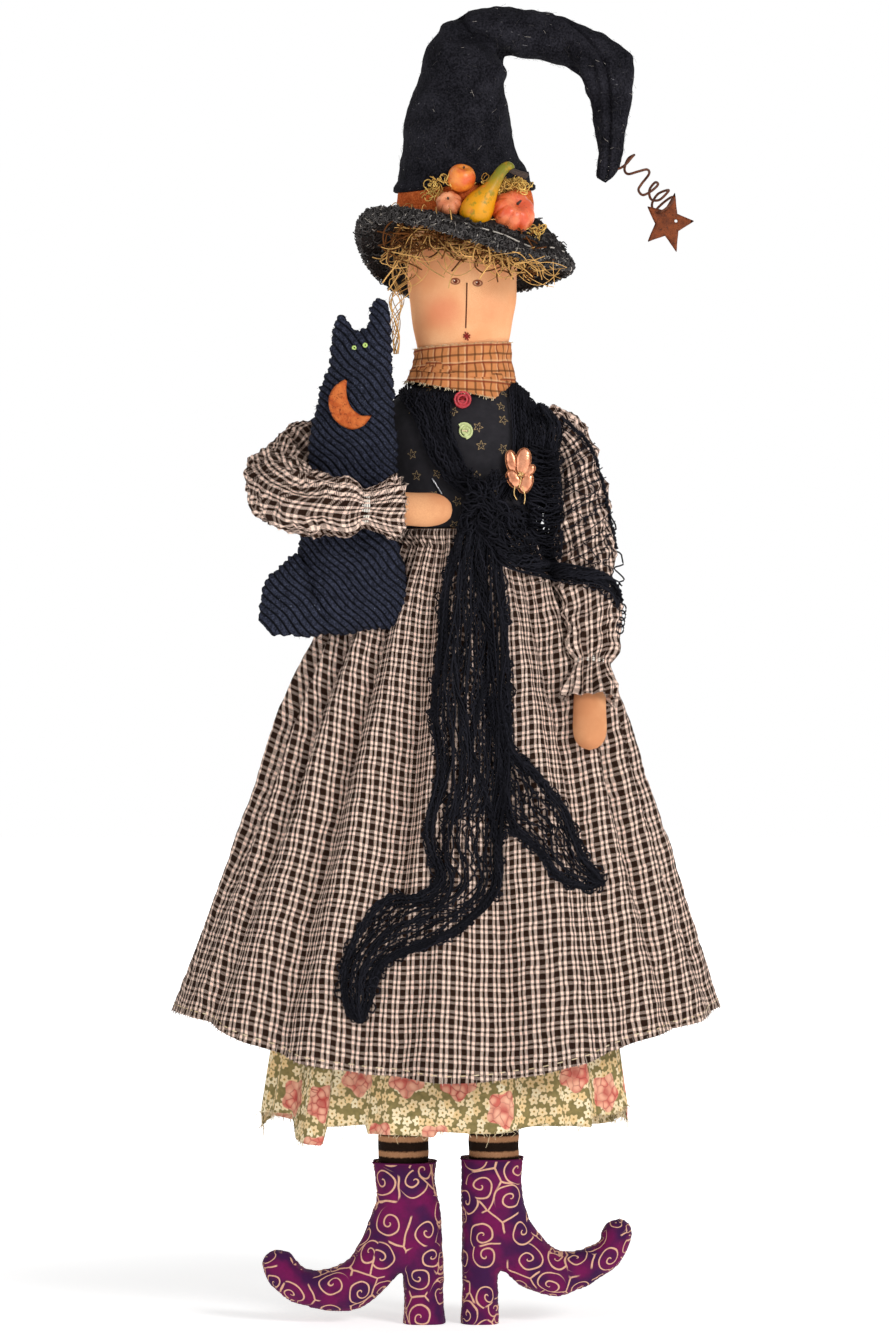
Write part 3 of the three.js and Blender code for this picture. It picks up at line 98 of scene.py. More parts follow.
def spline(points, count, closed=False):
    """A smooth line through points in even steps; columns past the third ride along."""
    p = np.asarray(points, float)
    n = len(p)
    k = np.arange(n if closed else n - 1)

    def pick(i):
        return p[i % n] if closed else p[np.clip(i, 0, n - 1)]

    a, b, c, d = pick(k - 1), pick(k), pick(k + 1), pick(k + 2)
    t = np.linspace(0, 1, 24, endpoint=False)[:, None, None]
    fine = 0.5 * (2 * b + (c - a) * t + (2 * a - 5 * b + 4 * c - d) * t**2 + (3 * b - a - 3 * c + d) * t**3)
    fine = fine.transpose(1, 0, 2).reshape(-1, p.shape[1])
    fine = np.vstack([fine, p[:1] if closed else p[-1:]])
    length = np.r_[0, np.cumsum(np.linalg.norm(np.diff(fine[:, :3], axis=0), axis=1))]
    want = np.linspace(0, length[-1], count + 1)[:-1] if closed else np.linspace(0, length[-1], count)
    return np.stack([np.interp(want, length, fine[:, i]) for i in range(p.shape[1])], 1)


def sides_of(path, up):
    """Two directions square to a path at each of its points, carried along it without twist."""
    along = unit(np.gradient(path, axis=0))
    side = np.asarray(up, float)
    out = []
    for t in along:
        side = unit(side - (side @ t) * t)
        out.append(side)
    side = np.array(out)
    return side, np.cross(along, side)


def wobble(p, size, seed, waves=7):
    """Smooth noise between about -1 and 1 over points, with features of some size."""
    r = np.random.default_rng(seed)
    total = 0
    for _ in range(waves):
        way = unit(r.normal(size=3)) * TAU / (size * r.uniform(0.7, 1.7))
        total = total + np.sin(p @ way + r.uniform(0, TAU))
    return total / math.sqrt(waves) / 1.3


def mesh_object(name, verts, faces, material, uv=None, merge=True):
    """A smooth mesh from points in millimetres and arrays of faces."""
    loops = np.concatenate([f.ravel() for f in faces]).astype(np.int32)
    sizes = np.concatenate([np.full(len(f), f.shape[1]) for f in faces]).astype(np.int32)
    name = name + "_piece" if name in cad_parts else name
    mesh = bpy.data.meshes.new(name)
    mesh.vertices.add(len(verts))
    mesh.vertices.foreach_set("co", (np.asarray(verts, np.float32) * MM).ravel())
    mesh.loops.add(len(loops))
    mesh.loops.foreach_set("vertex_index", loops)
    mesh.polygons.add(len(sizes))
    mesh.polygons.foreach_set("loop_start", (np.cumsum(sizes) - sizes).astype(np.int32))
    mesh.update(calc_edges=True)
    if uv is not None:
        mesh.uv_layers.new(name="flat").data.foreach_set("uv", np.asarray(uv, np.float32)[loops].ravel())
    if merge:
        bm = bmesh.new()
        bm.from_mesh(mesh)
        bmesh.ops.remove_doubles(bm, verts=bm.verts, dist=1e-6)
        bmesh.ops.recalc_face_normals(bm, faces=bm.faces)
        bm.to_mesh(mesh)
        bm.free()
    mesh.polygons.foreach_set("use_smooth", np.ones(len(mesh.polygons), bool))
    mesh.materials.append(material)
    obj = bpy.data.objects.new(name, mesh)
    bpy.context.scene.collection.objects.link(obj)
    return obj


def modified(obj, kind, **settings):
    """The object with a modifier applied to its mesh."""
    modifier = obj.modifiers.new(kind, kind)
    for key, value in settings.items():
        setattr(modifier, key, value)
    mesh = bpy.data.meshes.new_from_object(obj.evaluated_get(bpy.context.evaluated_depsgraph_get()))
    obj.modifiers.clear()
    old, obj.data = obj.data, mesh
    mesh.name = old.name
    bpy.data.meshes.remove(old)
    return obj


def pushed(obj, distance):
    """Moves each point of a mesh along its normal by distance(points, normals), in millimetres."""
    mesh = obj.data
    p = np.empty(len(mesh.vertices) * 3, np.float32)
    n = np.empty_like(p)
    mesh.vertices.foreach_get("co", p)
    mesh.vertices.foreach_get("normal", n)
    p, n = p.reshape(-1, 3) / MM, n.reshape(-1, 3)
    mesh.vertices.foreach_set("co", ((p + n * distance(p, n)[:, None]) * MM).ravel())
    mesh.update()
    return obj


def skin(name, rings, material, uv=None, caps=(False, False), thickness=0.0):
    """A surface through rows of points; a last column equal to the first closes it. Caps close its ends."""
    rows, cols = rings.shape[:2]
    verts = rings.reshape(-1, 3)
    flat = np.zeros((rows * cols, 2)) if uv is None else uv.reshape(-1, 2)
    i = (np.arange(rows - 1)[:, None] * cols + np.arange(cols - 1)).ravel()
    faces = [np.stack([i, i + 1, i + cols + 1, i + cols], 1)]
    for end, first in ((0, 0), (-1, (rows - 1) * cols)):
        if caps[end]:
            verts = np.vstack([verts, rings[end, :-1].mean(0)])
            flat = np.vstack([flat, flat[first:first + cols].mean(0)])
            j = first + np.arange(cols - 1)
            faces.append(np.stack([j, j + 1, np.full(cols - 1, len(verts) - 1)], 1))
    obj = mesh_object(name, verts, faces, material, flat)
    if thickness:
        modified(obj, "SOLIDIFY", thickness=thickness * MM, offset=-1)
    return obj


def cloth_uv(rings, keep=0.0):
    """Flat cloth coordinates from the middle column; keep 1 holds the print's size in narrow rows."""
    rows, cols = rings.shape[:2]
    step = np.linalg.norm(np.diff(rings, axis=1), axis=2)
    across = np.hstack([np.zeros((rows, 1)), np.cumsum(step, 1)])
    across -= across[:, cols // 2, None]
    across = lerp(across[np.argmax(step.sum(1))], across, keep)
    down = np.vstack([np.zeros(cols), np.cumsum(np.linalg.norm(np.diff(rings, axis=0), axis=2), 0)])
    return np.stack([across + 0 * down, down], -1)


def crumple(p, size, seed):
    """Creases: sharp ridges with soft hollows between them, from about -1 to 1."""
    return 1 - 2 * np.abs(wobble(p, size, seed)) ** 0.8


def tube_rings(line, cols, up=(0, 1, 0), ripple=None):
    """Rings about a line of (x, y, z, half width, half depth) points."""
    path = line[:, :3]
    side, other = sides_of(path, up)
    angle = np.linspace(0, TAU, cols + 1)
    swell = 1 if ripple is None else ripple(np.linspace(0, 1, len(path))[:, None], angle[None])[..., None]
    depth, width = line[:, 3, None, None], line[:, -1, None, None]
    ring = depth * np.cos(angle)[:, None] * other[:, None] + width * np.sin(angle)[:, None] * side[:, None]
    return path[:, None] + swell * ring


def strands(name, lines, radius, material, sides=4):
    """Many round strands in one mesh; radius is one number, or a number or a row for each line."""
    radii = [radius] * len(lines) if np.isscalar(radius) else radius
    groups = {}
    for line, r in zip(lines, radii):
        groups.setdefault(len(line), []).append((line, np.broadcast_to(r, len(line))))
    verts, faces, start = [], [], 0
    turn = np.arange(sides) * TAU / sides
    for n, group in groups.items():
        p = np.array([g[0] for g in group], float)
        r = np.array([g[1] for g in group], float)
        along = unit(np.gradient(p, axis=1))
        steep = np.abs(along[..., 2]).mean(1) > 0.7
        up = np.where(steep[:, None], [0.35, 1.0, 0.2], [0.1, 0.3, 1.0])[:, None]
        a = unit(np.cross(along, np.broadcast_to(up, along.shape)))
        b = np.cross(along, a)
        round_ = np.cos(turn)[:, None] * a[:, :, None] + np.sin(turn)[:, None] * b[:, :, None]
        verts.append((p[:, :, None] + r[:, :, None, None] * round_).reshape(-1, 3))
        first = start + np.arange(len(p))[:, None] * n * sides
        base = first[:, :, None] + np.arange(n - 1)[None, :, None] * sides
        j, k = np.arange(sides), (np.arange(sides) + 1) % sides
        faces.append(np.stack([base + j, base + k, base + sides + k, base + sides + j], -1).reshape(-1, 4))
        faces.append(first + j[::-1])
        faces.append(first + (n - 1) * sides + j)
        start += len(p) * n * sides
    faces.sort(key=lambda f: f.shape[1] != 4)
    return mesh_object(name, np.vstack(verts), faces, material, merge=False)


def knitted(line, size=0.5, pitch=4.2):
    """A yarn's line with the small waves that it keeps from its stitches."""
    length = np.r_[0, np.cumsum(np.linalg.norm(np.diff(line, axis=0), axis=1))]
    s = np.linspace(0, length[-1], max(8, int(length[-1] / 0.75)))
    fine = np.stack([np.interp(s, length, line[:, i]) for i in range(3)], 1)
    way = unit(rng.normal(0, 1, 3) * [1, 0.5, 1])
    turn = TAU * s / (pitch * rng.uniform(0.8, 1.3)) + rng.uniform(0, TAU)
    wave = np.outer(np.sin(turn), way) + np.outer(np.cos(turn), [0, 0.5, 0])
    return fine + size * rng.uniform(0.6, 1.3) * wave


def bunch(centre, count, points=40, wander=0.35, waves=3.0, up=(0, 1, 0)):
    """Strands side by side along a line of (x, y, z, half depth, half width) points."""
    line = spline(centre, points)
    side, other = sides_of(line[:, :3], up)
    s = np.linspace(0, 1, points)
    out = []
    for _ in range(count):
        u, v = rng.uniform(-1, 1, 2)
        p, q = rng.uniform(0, TAU, 2)
        f, g = rng.uniform(0.6, 1.6, 2) * waves
        u = u * (1 - wander) + wander * np.sin(TAU * f * s + p)
        v = v * (1 - wander) + wander * np.sin(TAU * g * s + q)
        out.append(line[:, :3] + side * (line[:, 3] * v)[:, None] + other * (line[:, -1] * u)[:, None])
    return out


def inside(outline, points):
    """Which points lie inside a closed outline."""
    a, b = outline, np.roll(outline, -1, 0)
    px, pz = points[:, :1], points[:, 1:]
    crosses = (a[:, 1] > pz) != (b[:, 1] > pz)
    rise = np.where(b[:, 1] == a[:, 1], 1e-9, b[:, 1] - a[:, 1])
    where = (b[:, 0] - a[:, 0]) * (pz - a[:, 1]) / rise + a[:, 0]
    return (crosses & (px < where)).sum(1) % 2 == 1


def pillow(name, outline, swell, material, y, step=2.0, level=1, smooth=True):
    """A stuffed shape round an outline of (x, z) points: swell turns its fullness into half a depth."""
    around = np.linalg.norm(np.diff(np.vstack([outline, outline[:1]]), axis=0), axis=1).sum()
    edge = spline(outline, int(around / step), closed=True) if smooth else np.asarray(outline, float)
    low, high = edge.min(0), edge.max(0)
    gx, gz = np.meshgrid(np.arange(low[0], high[0], step), np.arange(low[1], high[1], step * 0.866))
    gx = gx + (np.arange(gx.shape[0]) % 2)[:, None] * step / 2
    inner = np.stack([gx.ravel(), gz.ravel()], 1)
    inner = inner[inside(edge, inner)]
    inner = inner[np.linalg.norm(inner[:, None] - edge[None], axis=2).min(1) > 0.6 * step]
    n = len(edge)
    flat = np.vstack([edge, inner])
    seams = [(i, (i + 1) % n) for i in range(n)]
    tris = np.array(delaunay_2d_cdt([Vector(p) for p in flat], seams, [], 1, 1e-4)[2])
    pairs = np.unique(np.sort(np.vstack([tris[:, [0, 1]], tris[:, [1, 2]], tris[:, [2, 0]]]), 1), axis=0)
    ends = np.r_[pairs[:, 0], pairs[:, 1]]
    others = np.r_[pairs[:, 1], pairs[:, 0]]
    links = np.bincount(ends, minlength=len(flat))
    full = np.zeros(len(flat))
    for _ in range(1600):
        full = np.bincount(ends, full[others], minlength=len(flat)) / links + step * step / 2
        full[:n] = 0
    depth = swell(np.maximum(full, 0))
    away = np.linalg.norm(flat[:, None] - edge[None], axis=2)
    nearest = edge[away.argmin(1)]
    spread = 0.8 * np.maximum(0, 9 - away.min(1)) ** 2 / 9
    stretched = flat + unit(nearest - flat) * spread[:, None]
    front = np.stack([flat[:, 0], y - depth, flat[:, 1]], 1)
    back = front[n:] * [1, 0, 1] + np.outer(y + depth[n:], [0, 1, 0])
    rear = np.where(tris < n, tris, tris + len(flat) - n)
    verts = np.vstack([front, back])
    loops = np.vstack([tris, rear[:, ::-1]])
    uv = np.vstack([stretched, stretched[n:] + 300])
    obj = mesh_object(name, verts, [loops], material, uv)
    return modified(obj, "SUBSURF", levels=level, render_levels=level) if level else obj


def tree_of(obj):
    mesh = obj.data
    verts = [v.co / MM for v in mesh.vertices]
    return BVHTree.FromPolygons(verts, [tuple(f.vertices) for f in mesh.polygons])


def laid(tree, points, lift):
    """Points laid on a surface from the front and lifted off it; a point beside it takes the last depth."""
    out = np.array(points, float)
    lift = np.broadcast_to(lift, len(out))
    last = None
    for i, p in enumerate(out):
        hit = tree.ray_cast(Vector((p[0], IN_FRONT, p[2])), Vector((0, 1, 0)))[0]
        last = hit.y if hit else last
        out[i, 1] = (p[1] if last is None else last) - lift[i]
    return out


def place(obj, body, slot, *nodes):
    """Rides a finished piece on a body and hides the CAD nodes that it stands for; its slot is not used."""
    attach(obj, body)
    if nodes:
        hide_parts(*nodes)
    return obj


def rgb(r, g, b):
    """A colour as it reads off the photograph, for a shader."""
    shares = (r / 255, g / 255, b / 255)
    return tuple(c / 12.92 if c <= 0.04045 else ((c + 0.055) / 1.055) ** 2.4 for c in shares)


class Paint:
    """A node material, built by calls that each return a socket. Lengths in it are millimetres."""

    def __init__(self, name, **shader):
        self.material = bpy.data.materials.new(name)
        self.material.use_nodes = True
        self.nodes = self.material.node_tree.nodes
        self.links = self.material.node_tree.links
        self.shader = self.nodes["Principled BSDF"]
        for key, value in shader.items():
            self.put(self.shader, key.replace("_", " "), value)
        coords = self.nodes.new("ShaderNodeTexCoord")
        self.flat = coords.outputs["UV"]
        self.at = self.node("VectorMath", {0: coords.outputs["Object"], "Scale": 1000.0}, operation="SCALE")

    def put(self, node, key, value):
        socket = node.inputs[key]
        if isinstance(value, bpy.types.NodeSocket):
            self.links.new(value, socket)
        elif socket.type == "RGBA":
            socket.default_value = (*value, 1.0)
        else:
            socket.default_value = value

    def node(self, kind, inputs, out=0, **settings):
        node = self.nodes.new("ShaderNode" + kind)
        for key, value in settings.items():
            setattr(node, key, value)
        for key, value in inputs.items():
            self.put(node, key, value)
        return node.outputs[out]

    def math(self, operation, a, b=0.0, c=0.0):
        return self.node("Math", {0: a, 1: b, 2: c}, operation=operation)

    def times(self, a, b):
        return self.math("MULTIPLY", a, b)

    def plus(self, a, b):
        return self.math("ADD", a, b)

    def minus(self, a, b):
        return self.math("SUBTRACT", a, b)

    def step(self, value, low, high):
        span = {"Value": value, "From Min": low, "From Max": high}
        return self.node("MapRange", span, interpolation_type="SMOOTHSTEP")

    def mix(self, share, a, b, blend="MIX"):
        return self.node("Mix", {0: share, 6: a, 7: b}, 2, data_type="RGBA", blend_type=blend)

    def noise(self, at, size, detail=2.0, rough=0.5):
        inputs = {"Vector": at, "Scale": 1 / size, "Detail": detail, "Roughness": rough}
        return self.node("TexNoise", inputs)

    def cells(self, at, size, jitter=1.0, dimensions="2D"):
        """Scattered cells: the way from each cell's middle, its length and a colour for each cell."""
        node = self.nodes.new("ShaderNodeTexVoronoi")
        node.voronoi_dimensions = dimensions
        self.put(node, "Vector", at)
        self.put(node, "Scale", 1 / size)
        self.put(node, "Randomness", jitter)
        middle = self.node("VectorMath", {0: node.outputs["Position"], "Scale": 1.0}, operation="SCALE")
        way = self.node("VectorMath", {0: at, 1: middle}, operation="SUBTRACT")
        length = self.times(node.outputs["Distance"], size)
        return way, length, node.outputs["Color"]

    def split(self, vector):
        node = self.nodes.new("ShaderNodeSeparateXYZ")
        self.put(node, 0, vector)
        return node.outputs

    def spot(self, x, z, centre, half, soft=0.25):
        """A soft-edged oval on the front, about a centre of (x, z)."""
        a = self.math("DIVIDE", self.minus(x, float(centre[0])), half[0])
        b = self.math("DIVIDE", self.minus(z, float(centre[1])), half[1])
        away = self.math("SQRT", self.plus(self.times(a, a), self.times(b, b)))
        return self.step(away, 1 + soft, 1 - soft)

    def stripe(self, value, period, share, soft=0.05):
        """1 along stripes that take a share of each period."""
        phase = self.math("FRACT", self.math("DIVIDE", value, period))
        away = self.math("ABSOLUTE", self.minus(phase, 0.5))
        return self.step(away, share / 2 + soft, share / 2 - soft)

    def weave(self, x, y, pitch):
        """The height of crossing threads."""
        a = self.math("SINE", self.times(x, TAU / pitch))
        b = self.math("SINE", self.times(y, TAU / pitch))
        return self.times(a, b)

    def done(self, colour, height=None, deep=0.1, roughness=None):
        self.put(self.shader, "Base Color", colour)
        if roughness is not None:
            self.put(self.shader, "Roughness", roughness)
        if height is not None:
            bump = self.node("Bump", {"Height": height, "Distance": deep * MM, "Strength": 1.0})
            self.put(self.shader, "Normal", bump)
        return self.material


# The face's paint: pixel and strength of the cheeks, pixels of the eyes, and an eye's layers as shift,
# half size and colour
CHEEKS = [(444, 311, 0.5), (490, 309, 0.22)]
EYES = [(455.2, 281.3), (477.6, 283)]
EYE_LAYERS = [
    ((0, 0), (3.3, 2.2), rgb(124, 54, 32)),
    ((0, -0.1), (2.5, 1.45), rgb(212, 158, 122)),
    ((0.1, 0), (1.45, 1.35), rgb(104, 42, 26)),
    ((-0.5, 0.5), (0.42, 0.38), rgb(250, 236, 220)),
]


def muslin(name, dark, light, face=False):
    """Tea-dyed muslin; the face has painted eyes and rouged cheeks."""
    p = Paint(name, Roughness=0.9, Specular_IOR_Level=0.15)
    x, y, z = p.split(p.at)
    colour = p.mix(p.step(p.noise(p.at, 26.0, 3.0), 0.3, 0.7), dark, light)
    colour = p.mix(p.times(p.step(p.noise(p.at, 0.9, 2.0), 0.3, 0.7), 0.34), colour, dark)
    if face:
        front = p.math("LESS_THAN", y, 0.0)
        for px, py, strength in CHEEKS:
            cheek = p.spot(x, z, at_photo(px, py, -26)[[0, 2]], (10.5, 9.5), 0.85)
            rouge = p.times(p.times(cheek, front), strength)
            colour = p.mix(rouge, colour, rgb(232, 118, 84))
        for px, py in EYES:
            cx, _, cz = at_photo(px, py, FACE_Y)
            for (dx, dz), half, paint in EYE_LAYERS:
                mark = p.times(p.spot(x, z, (cx + dx, cz + dz), half, 0.16), front)
                colour = p.mix(mark, colour, paint)
    height = p.plus(p.weave(x, z, 0.62), p.noise(p.at, 1.6, 2.0))
    return p.done(colour, height, 0.11)


def check_cotton():
    """Homespun check: a broad dark line and a thin one by turns, with cream between them."""
    p = Paint("check_cotton", Roughness=0.95, Specular_IOR_Level=0.08)
    u, v, _ = p.split(p.flat)
    slow = p.times(p.noise(p.flat, 26.0, 1.0), 2.4)
    quick = p.times(p.noise(p.flat, 4.6, 1.0), 0.8)
    drift = p.plus(slow, quick)
    lines = []
    for way in (u, v):
        at = p.plus(way, drift)
        broad = p.stripe(at, CHECK_REPEAT, 0.43, 0.02)
        thin = p.stripe(p.plus(at, CHECK_REPEAT / 2), CHECK_REPEAT, 0.18, 0.02)
        lines.append(p.math("MAXIMUM", broad, thin))
    twill = p.stripe(p.plus(u, v), 1.05, 0.58, 0.16)
    ink = p.math("MULTIPLY_ADD", twill, p.minus(lines[0], lines[1]), lines[1])
    ink = p.math("MAXIMUM", ink, p.times(lines[0], 0.58))
    ink = p.math("MAXIMUM", ink, p.times(lines[1], 0.3))
    cream = p.mix(p.noise(p.flat, 1.2, 2.0), rgb(246, 202, 180), rgb(255, 236, 221))
    dark = p.mix(p.noise(p.flat, 1.2, 2.0), rgb(18, 8, 4), rgb(56, 36, 26))
    height = p.minus(p.weave(u, v, 0.9), p.times(ink, 0.5))
    return p.done(p.mix(ink, cream, dark), height, 0.14)


def plaid_cotton():
    """Orange homespun with brown, red and cream lines."""
    p = Paint("scarf_plaid", Roughness=0.92, Specular_IOR_Level=0.1)
    u, v, _ = p.split(p.flat)
    colour = p.mix(p.noise(p.flat, 5.0, 3.0), rgb(188, 114, 64), rgb(222, 150, 96))
    for way, shift in ((u, 0.0), (v, 1.4)):
        at = p.plus(way, shift)
        for offset, period, share, strength, paint in (
            (0.0, 5.8, 0.22, 0.7, rgb(88, 52, 32)),
            (2.9, 11.6, 0.09, 0.6, rgb(158, 62, 40)),
            (4.1, 11.6, 0.08, 0.5, rgb(236, 196, 150)),
        ):
            line = p.stripe(p.plus(at, offset), period, share, 0.05)
            colour = p.mix(p.times(line, strength), colour, paint)
    return p.done(colour, p.weave(u, v, 0.8), 0.13)


def star_cotton():
    """Black cotton with a scatter of small stars drawn in outline."""
    p = Paint("star_cotton", Roughness=0.9, Specular_IOR_Level=0.15)
    u, v, _ = p.split(p.flat)
    way, away, pick = p.cells(p.flat, 15.0, 0.75)
    x, y, _ = p.split(way)
    chance, spin, _ = p.split(pick)
    turn = p.plus(p.math("ARCTAN2", y, x), p.times(spin, 3.0))
    point = p.math("FRACT", p.times(turn, 5 / TAU))
    point = p.math("ABSOLUTE", p.minus(point, 0.5))
    edge = p.math("MULTIPLY_ADD", p.math("POWER", p.times(point, 2.0), 1.5), 2.0, 1.15)
    line = p.step(p.math("ABSOLUTE", p.minus(away, edge)), 0.5, 0.22)
    line = p.times(line, p.math("GREATER_THAN", chance, 0.5))
    line = p.times(line, p.step(p.noise(p.flat, 1.0, 1.0), 0.3, 0.5))
    ground = p.mix(p.noise(p.flat, 6.0, 3.0), rgb(24, 23, 27), rgb(48, 46, 50))
    return p.done(p.mix(line, ground, rgb(158, 134, 96)), p.weave(u, v, 0.7), 0.1)


def floral_cotton():
    """A plain small-flowered print: cream blossoms on olive, with a few roses."""
    p = Paint("floral_cotton", Roughness=0.92, Specular_IOR_Level=0.1)
    u, v, _ = p.split(p.flat)
    way, away, pick = p.cells(p.flat, 6.4, 0.8)
    x, y, _ = p.split(way)
    tone, spin, _ = p.split(pick)
    turn = p.plus(p.math("ARCTAN2", y, x), p.times(spin, 6.0))
    lobe = p.math("MULTIPLY_ADD", p.math("COSINE", p.times(turn, 5.0)), 0.65, 2.75)
    petal = p.step(p.minus(away, lobe), 0.25, -0.15)
    heart = p.step(away, 0.85, 0.5)
    leaf = p.mix(p.noise(p.flat, 3.4, 2.0), rgb(104, 100, 62), rgb(172, 150, 98))
    blossom = p.mix(tone, rgb(240, 206, 150), rgb(252, 236, 200))
    colour = p.mix(heart, p.mix(petal, leaf, blossom), rgb(176, 140, 70))
    bend = p.node("VectorMath", {0: p.flat, 1: (17.0, 9.0, 0.0)}, operation="ADD")
    way, away, pick = p.cells(bend, 36.0, 0.7)
    x, y, _ = p.split(way)
    chance, spin, _ = p.split(pick)
    turn = p.math("ARCTAN2", y, x)
    rim = p.math("MULTIPLY_ADD", p.math("SINE", p.math("MULTIPLY_ADD", turn, 5.0, spin)), 1.5, 11.4)
    rose = p.step(p.minus(away, rim), 0.3, -0.3)
    rose = p.times(rose, p.math("GREATER_THAN", chance, 0.22))
    bent = p.node("TexNoise", {"Vector": p.flat, "Scale": 1 / 5.0, "Detail": 1.0}, 1)
    bent = p.node("VectorMath", {0: bent, 1: (3.0, 3.0, 0.0), 2: p.flat}, operation="MULTIPLY_ADD")
    _, fold, shade = p.cells(bent, 5.4, 1.0)
    rosy = p.mix(p.step(fold, 0.6, 3.4), rgb(246, 180, 152), rgb(214, 104, 92))
    seam = p.node("TexVoronoi", {"Vector": bent, "Scale": 1 / 5.4}, 0,
                  voronoi_dimensions="2D", feature="DISTANCE_TO_EDGE")
    rosy = p.mix(p.times(p.step(seam, 0.09, 0.03), 0.8), rosy, rgb(176, 62, 60))
    rosy = p.mix(p.times(p.split(shade)[0], 0.55), rosy, rgb(246, 196, 164))
    rosy = p.mix(p.times(p.step(away, 4.6, 1.0), 0.7), rosy, rgb(190, 70, 68))
    colour = p.mix(rose, colour, rosy)
    return p.done(colour, p.weave(u, v, 0.75), 0.1)


def stripe_cotton():
    """Stockings in black with fuzzy tan bands."""
    p = Paint("stripe_cotton", Roughness=0.95, Specular_IOR_Level=0.08)
    _, _, z = p.split(p.at)
    level = p.plus(z, p.times(p.noise(p.at, 1.6, 3.0), 1.6))
    band = p.stripe(p.plus(level, 1.5), 9.8, 0.36, 0.07)
    tan = p.mix(p.noise(p.at, 0.7, 2.0), rgb(158, 108, 76), rgb(204, 156, 116))
    black = p.mix(p.noise(p.at, 0.7, 2.0), rgb(18, 12, 9), rgb(48, 34, 26))
    return p.done(p.mix(band, black, tan), p.plus(p.noise(p.at, 0.6, 2.0), band), 0.3)


def batik_cotton():
    """Purple batik with gold spirals."""
    p = Paint("batik_cotton", Roughness=0.8, Specular_IOR_Level=0.2)
    u, v, _ = p.split(p.flat)
    bent = p.node("TexNoise", {"Vector": p.flat, "Scale": 1 / 16.0, "Detail": 1.0}, 1)
    bent = p.node("VectorMath", {0: bent, 1: (5.0, 5.0, 0.0), 2: p.flat}, operation="MULTIPLY_ADD")
    way, away, pick = p.cells(bent, 20.0, 0.8)
    x, y, _ = p.split(way)
    spin, hand, _ = p.split(pick)
    hand = p.minus(p.times(p.math("GREATER_THAN", hand, 0.5), 2.0), 1.0)
    turn = p.times(p.math("ARCTAN2", y, x), hand)
    phase = p.plus(p.math("DIVIDE", turn, TAU), p.plus(p.math("DIVIDE", away, 5.8), spin))
    curl = p.math("ABSOLUTE", p.minus(p.math("FRACT", phase), 0.5))
    line = p.step(curl, 0.11, 0.06)
    line = p.times(line, p.step(away, 10.4, 9.6))
    edge = p.node("TexVoronoi", {"Vector": bent, "Scale": 1 / 20.0, "Randomness": 0.8}, 0,
                  voronoi_dimensions="2D", feature="DISTANCE_TO_EDGE")
    stalk = p.times(p.step(edge, 0.036, 0.02), p.step(p.noise(p.flat, 24.0, 0.0), 0.5, 0.54))
    line = p.math("MAXIMUM", line, stalk)
    line = p.times(line, p.step(p.noise(p.flat, 1.3, 2.0), 0.12, 0.34))
    plum = p.mix(p.step(p.noise(p.flat, 21.0, 2.0), 0.36, 0.64), rgb(62, 18, 72), rgb(124, 14, 84))
    plum = p.mix(p.times(p.noise(p.flat, 2.0, 3.0), 0.5), plum, rgb(58, 10, 44))
    gold = p.mix(p.noise(p.flat, 1.2, 2.0), rgb(204, 144, 116), rgb(244, 200, 168))
    return p.done(p.mix(line, plum, gold), p.weave(u, v, 0.6), 0.07)


def felt(name, dark, light, lint, deep=0.35):
    """Felted wool with stray pale fibres."""
    p = Paint(name, Roughness=0.97, Specular_IOR_Level=0.06)
    fibres = p.noise(p.at, 1.3, 5.0, 0.65)
    worn = p.math("MULTIPLY_ADD", p.noise(p.at, 15.0, 2.0), 0.3, p.times(fibres, 0.75))
    colour = p.mix(p.step(worn, 0.36, 0.74), dark, light)
    drawn = p.node("VectorMath", {0: p.at, 1: (0.28, 1.0, 1.0)}, operation="MULTIPLY")
    speck = p.step(p.noise(drawn, 1.1, 1.0), 0.73, 0.8)
    speck = p.times(speck, p.step(p.noise(p.at, 15.0, 1.0), 0.5, 0.62))
    return p.done(p.mix(p.times(speck, 0.6), colour, lint), fibres, deep)


def yarn(name, dark, light, roughness=0.96, size=0.6):
    """Strands that each take a shade of their own."""
    p = Paint(name, Roughness=roughness, Specular_IOR_Level=0.1)
    own = p.node("NewGeometry", {}, "Random Per Island")
    fine = p.noise(p.at, size, 3.0)
    shade = p.math("MULTIPLY_ADD", own, 0.65, p.times(fine, 0.4))
    return p.done(p.mix(shade, dark, light), fine, 0.15)


def corduroy():
    """Navy cord cloth, with painted shade in the grooves between its wales."""
    p = Paint("corduroy", Roughness=0.95, Specular_IOR_Level=0.08)
    x, _, z = p.split(p.at)
    across = p.plus(p.times(x, WALE_WAY[0]), p.times(z, WALE_WAY[1]))
    bend = p.math("SINE", p.plus(p.math("DIVIDE", z, 17.0), p.math("DIVIDE", x, 23.0)))
    across = p.plus(across, p.times(bend, 1.2))
    bend = p.math("SINE", p.minus(p.math("DIVIDE", z, 6.1), p.math("DIVIDE", x, 9.3)))
    across = p.plus(across, p.times(bend, 0.8))
    # The cord term darkens the colour in the grooves between the wales: painted shade
    cord = p.math("ABSOLUTE", p.math("COSINE", p.times(across, math.pi / WALE)))
    pile = p.noise(p.at, 0.9, 4.0, 0.6)
    nub = p.math("MULTIPLY_ADD", p.step(p.noise(p.at, 2.2, 2.0), 0.35, 0.6), 0.55, 0.45)
    shade = p.times(p.times(p.step(pile, 0.2, 0.75), p.step(cord, 0.1, 0.75)), nub)
    colour = p.mix(shade, rgb(6, 7, 11), rgb(61, 65, 83))
    lint = p.step(p.noise(p.at, 1.0, 1.0), 0.76, 0.8)
    lint = p.times(lint, p.step(p.noise(p.at, 9.0), 0.5, 0.6))
    return p.done(p.mix(lint, colour, rgb(150, 156, 170)), pile, 0.5)


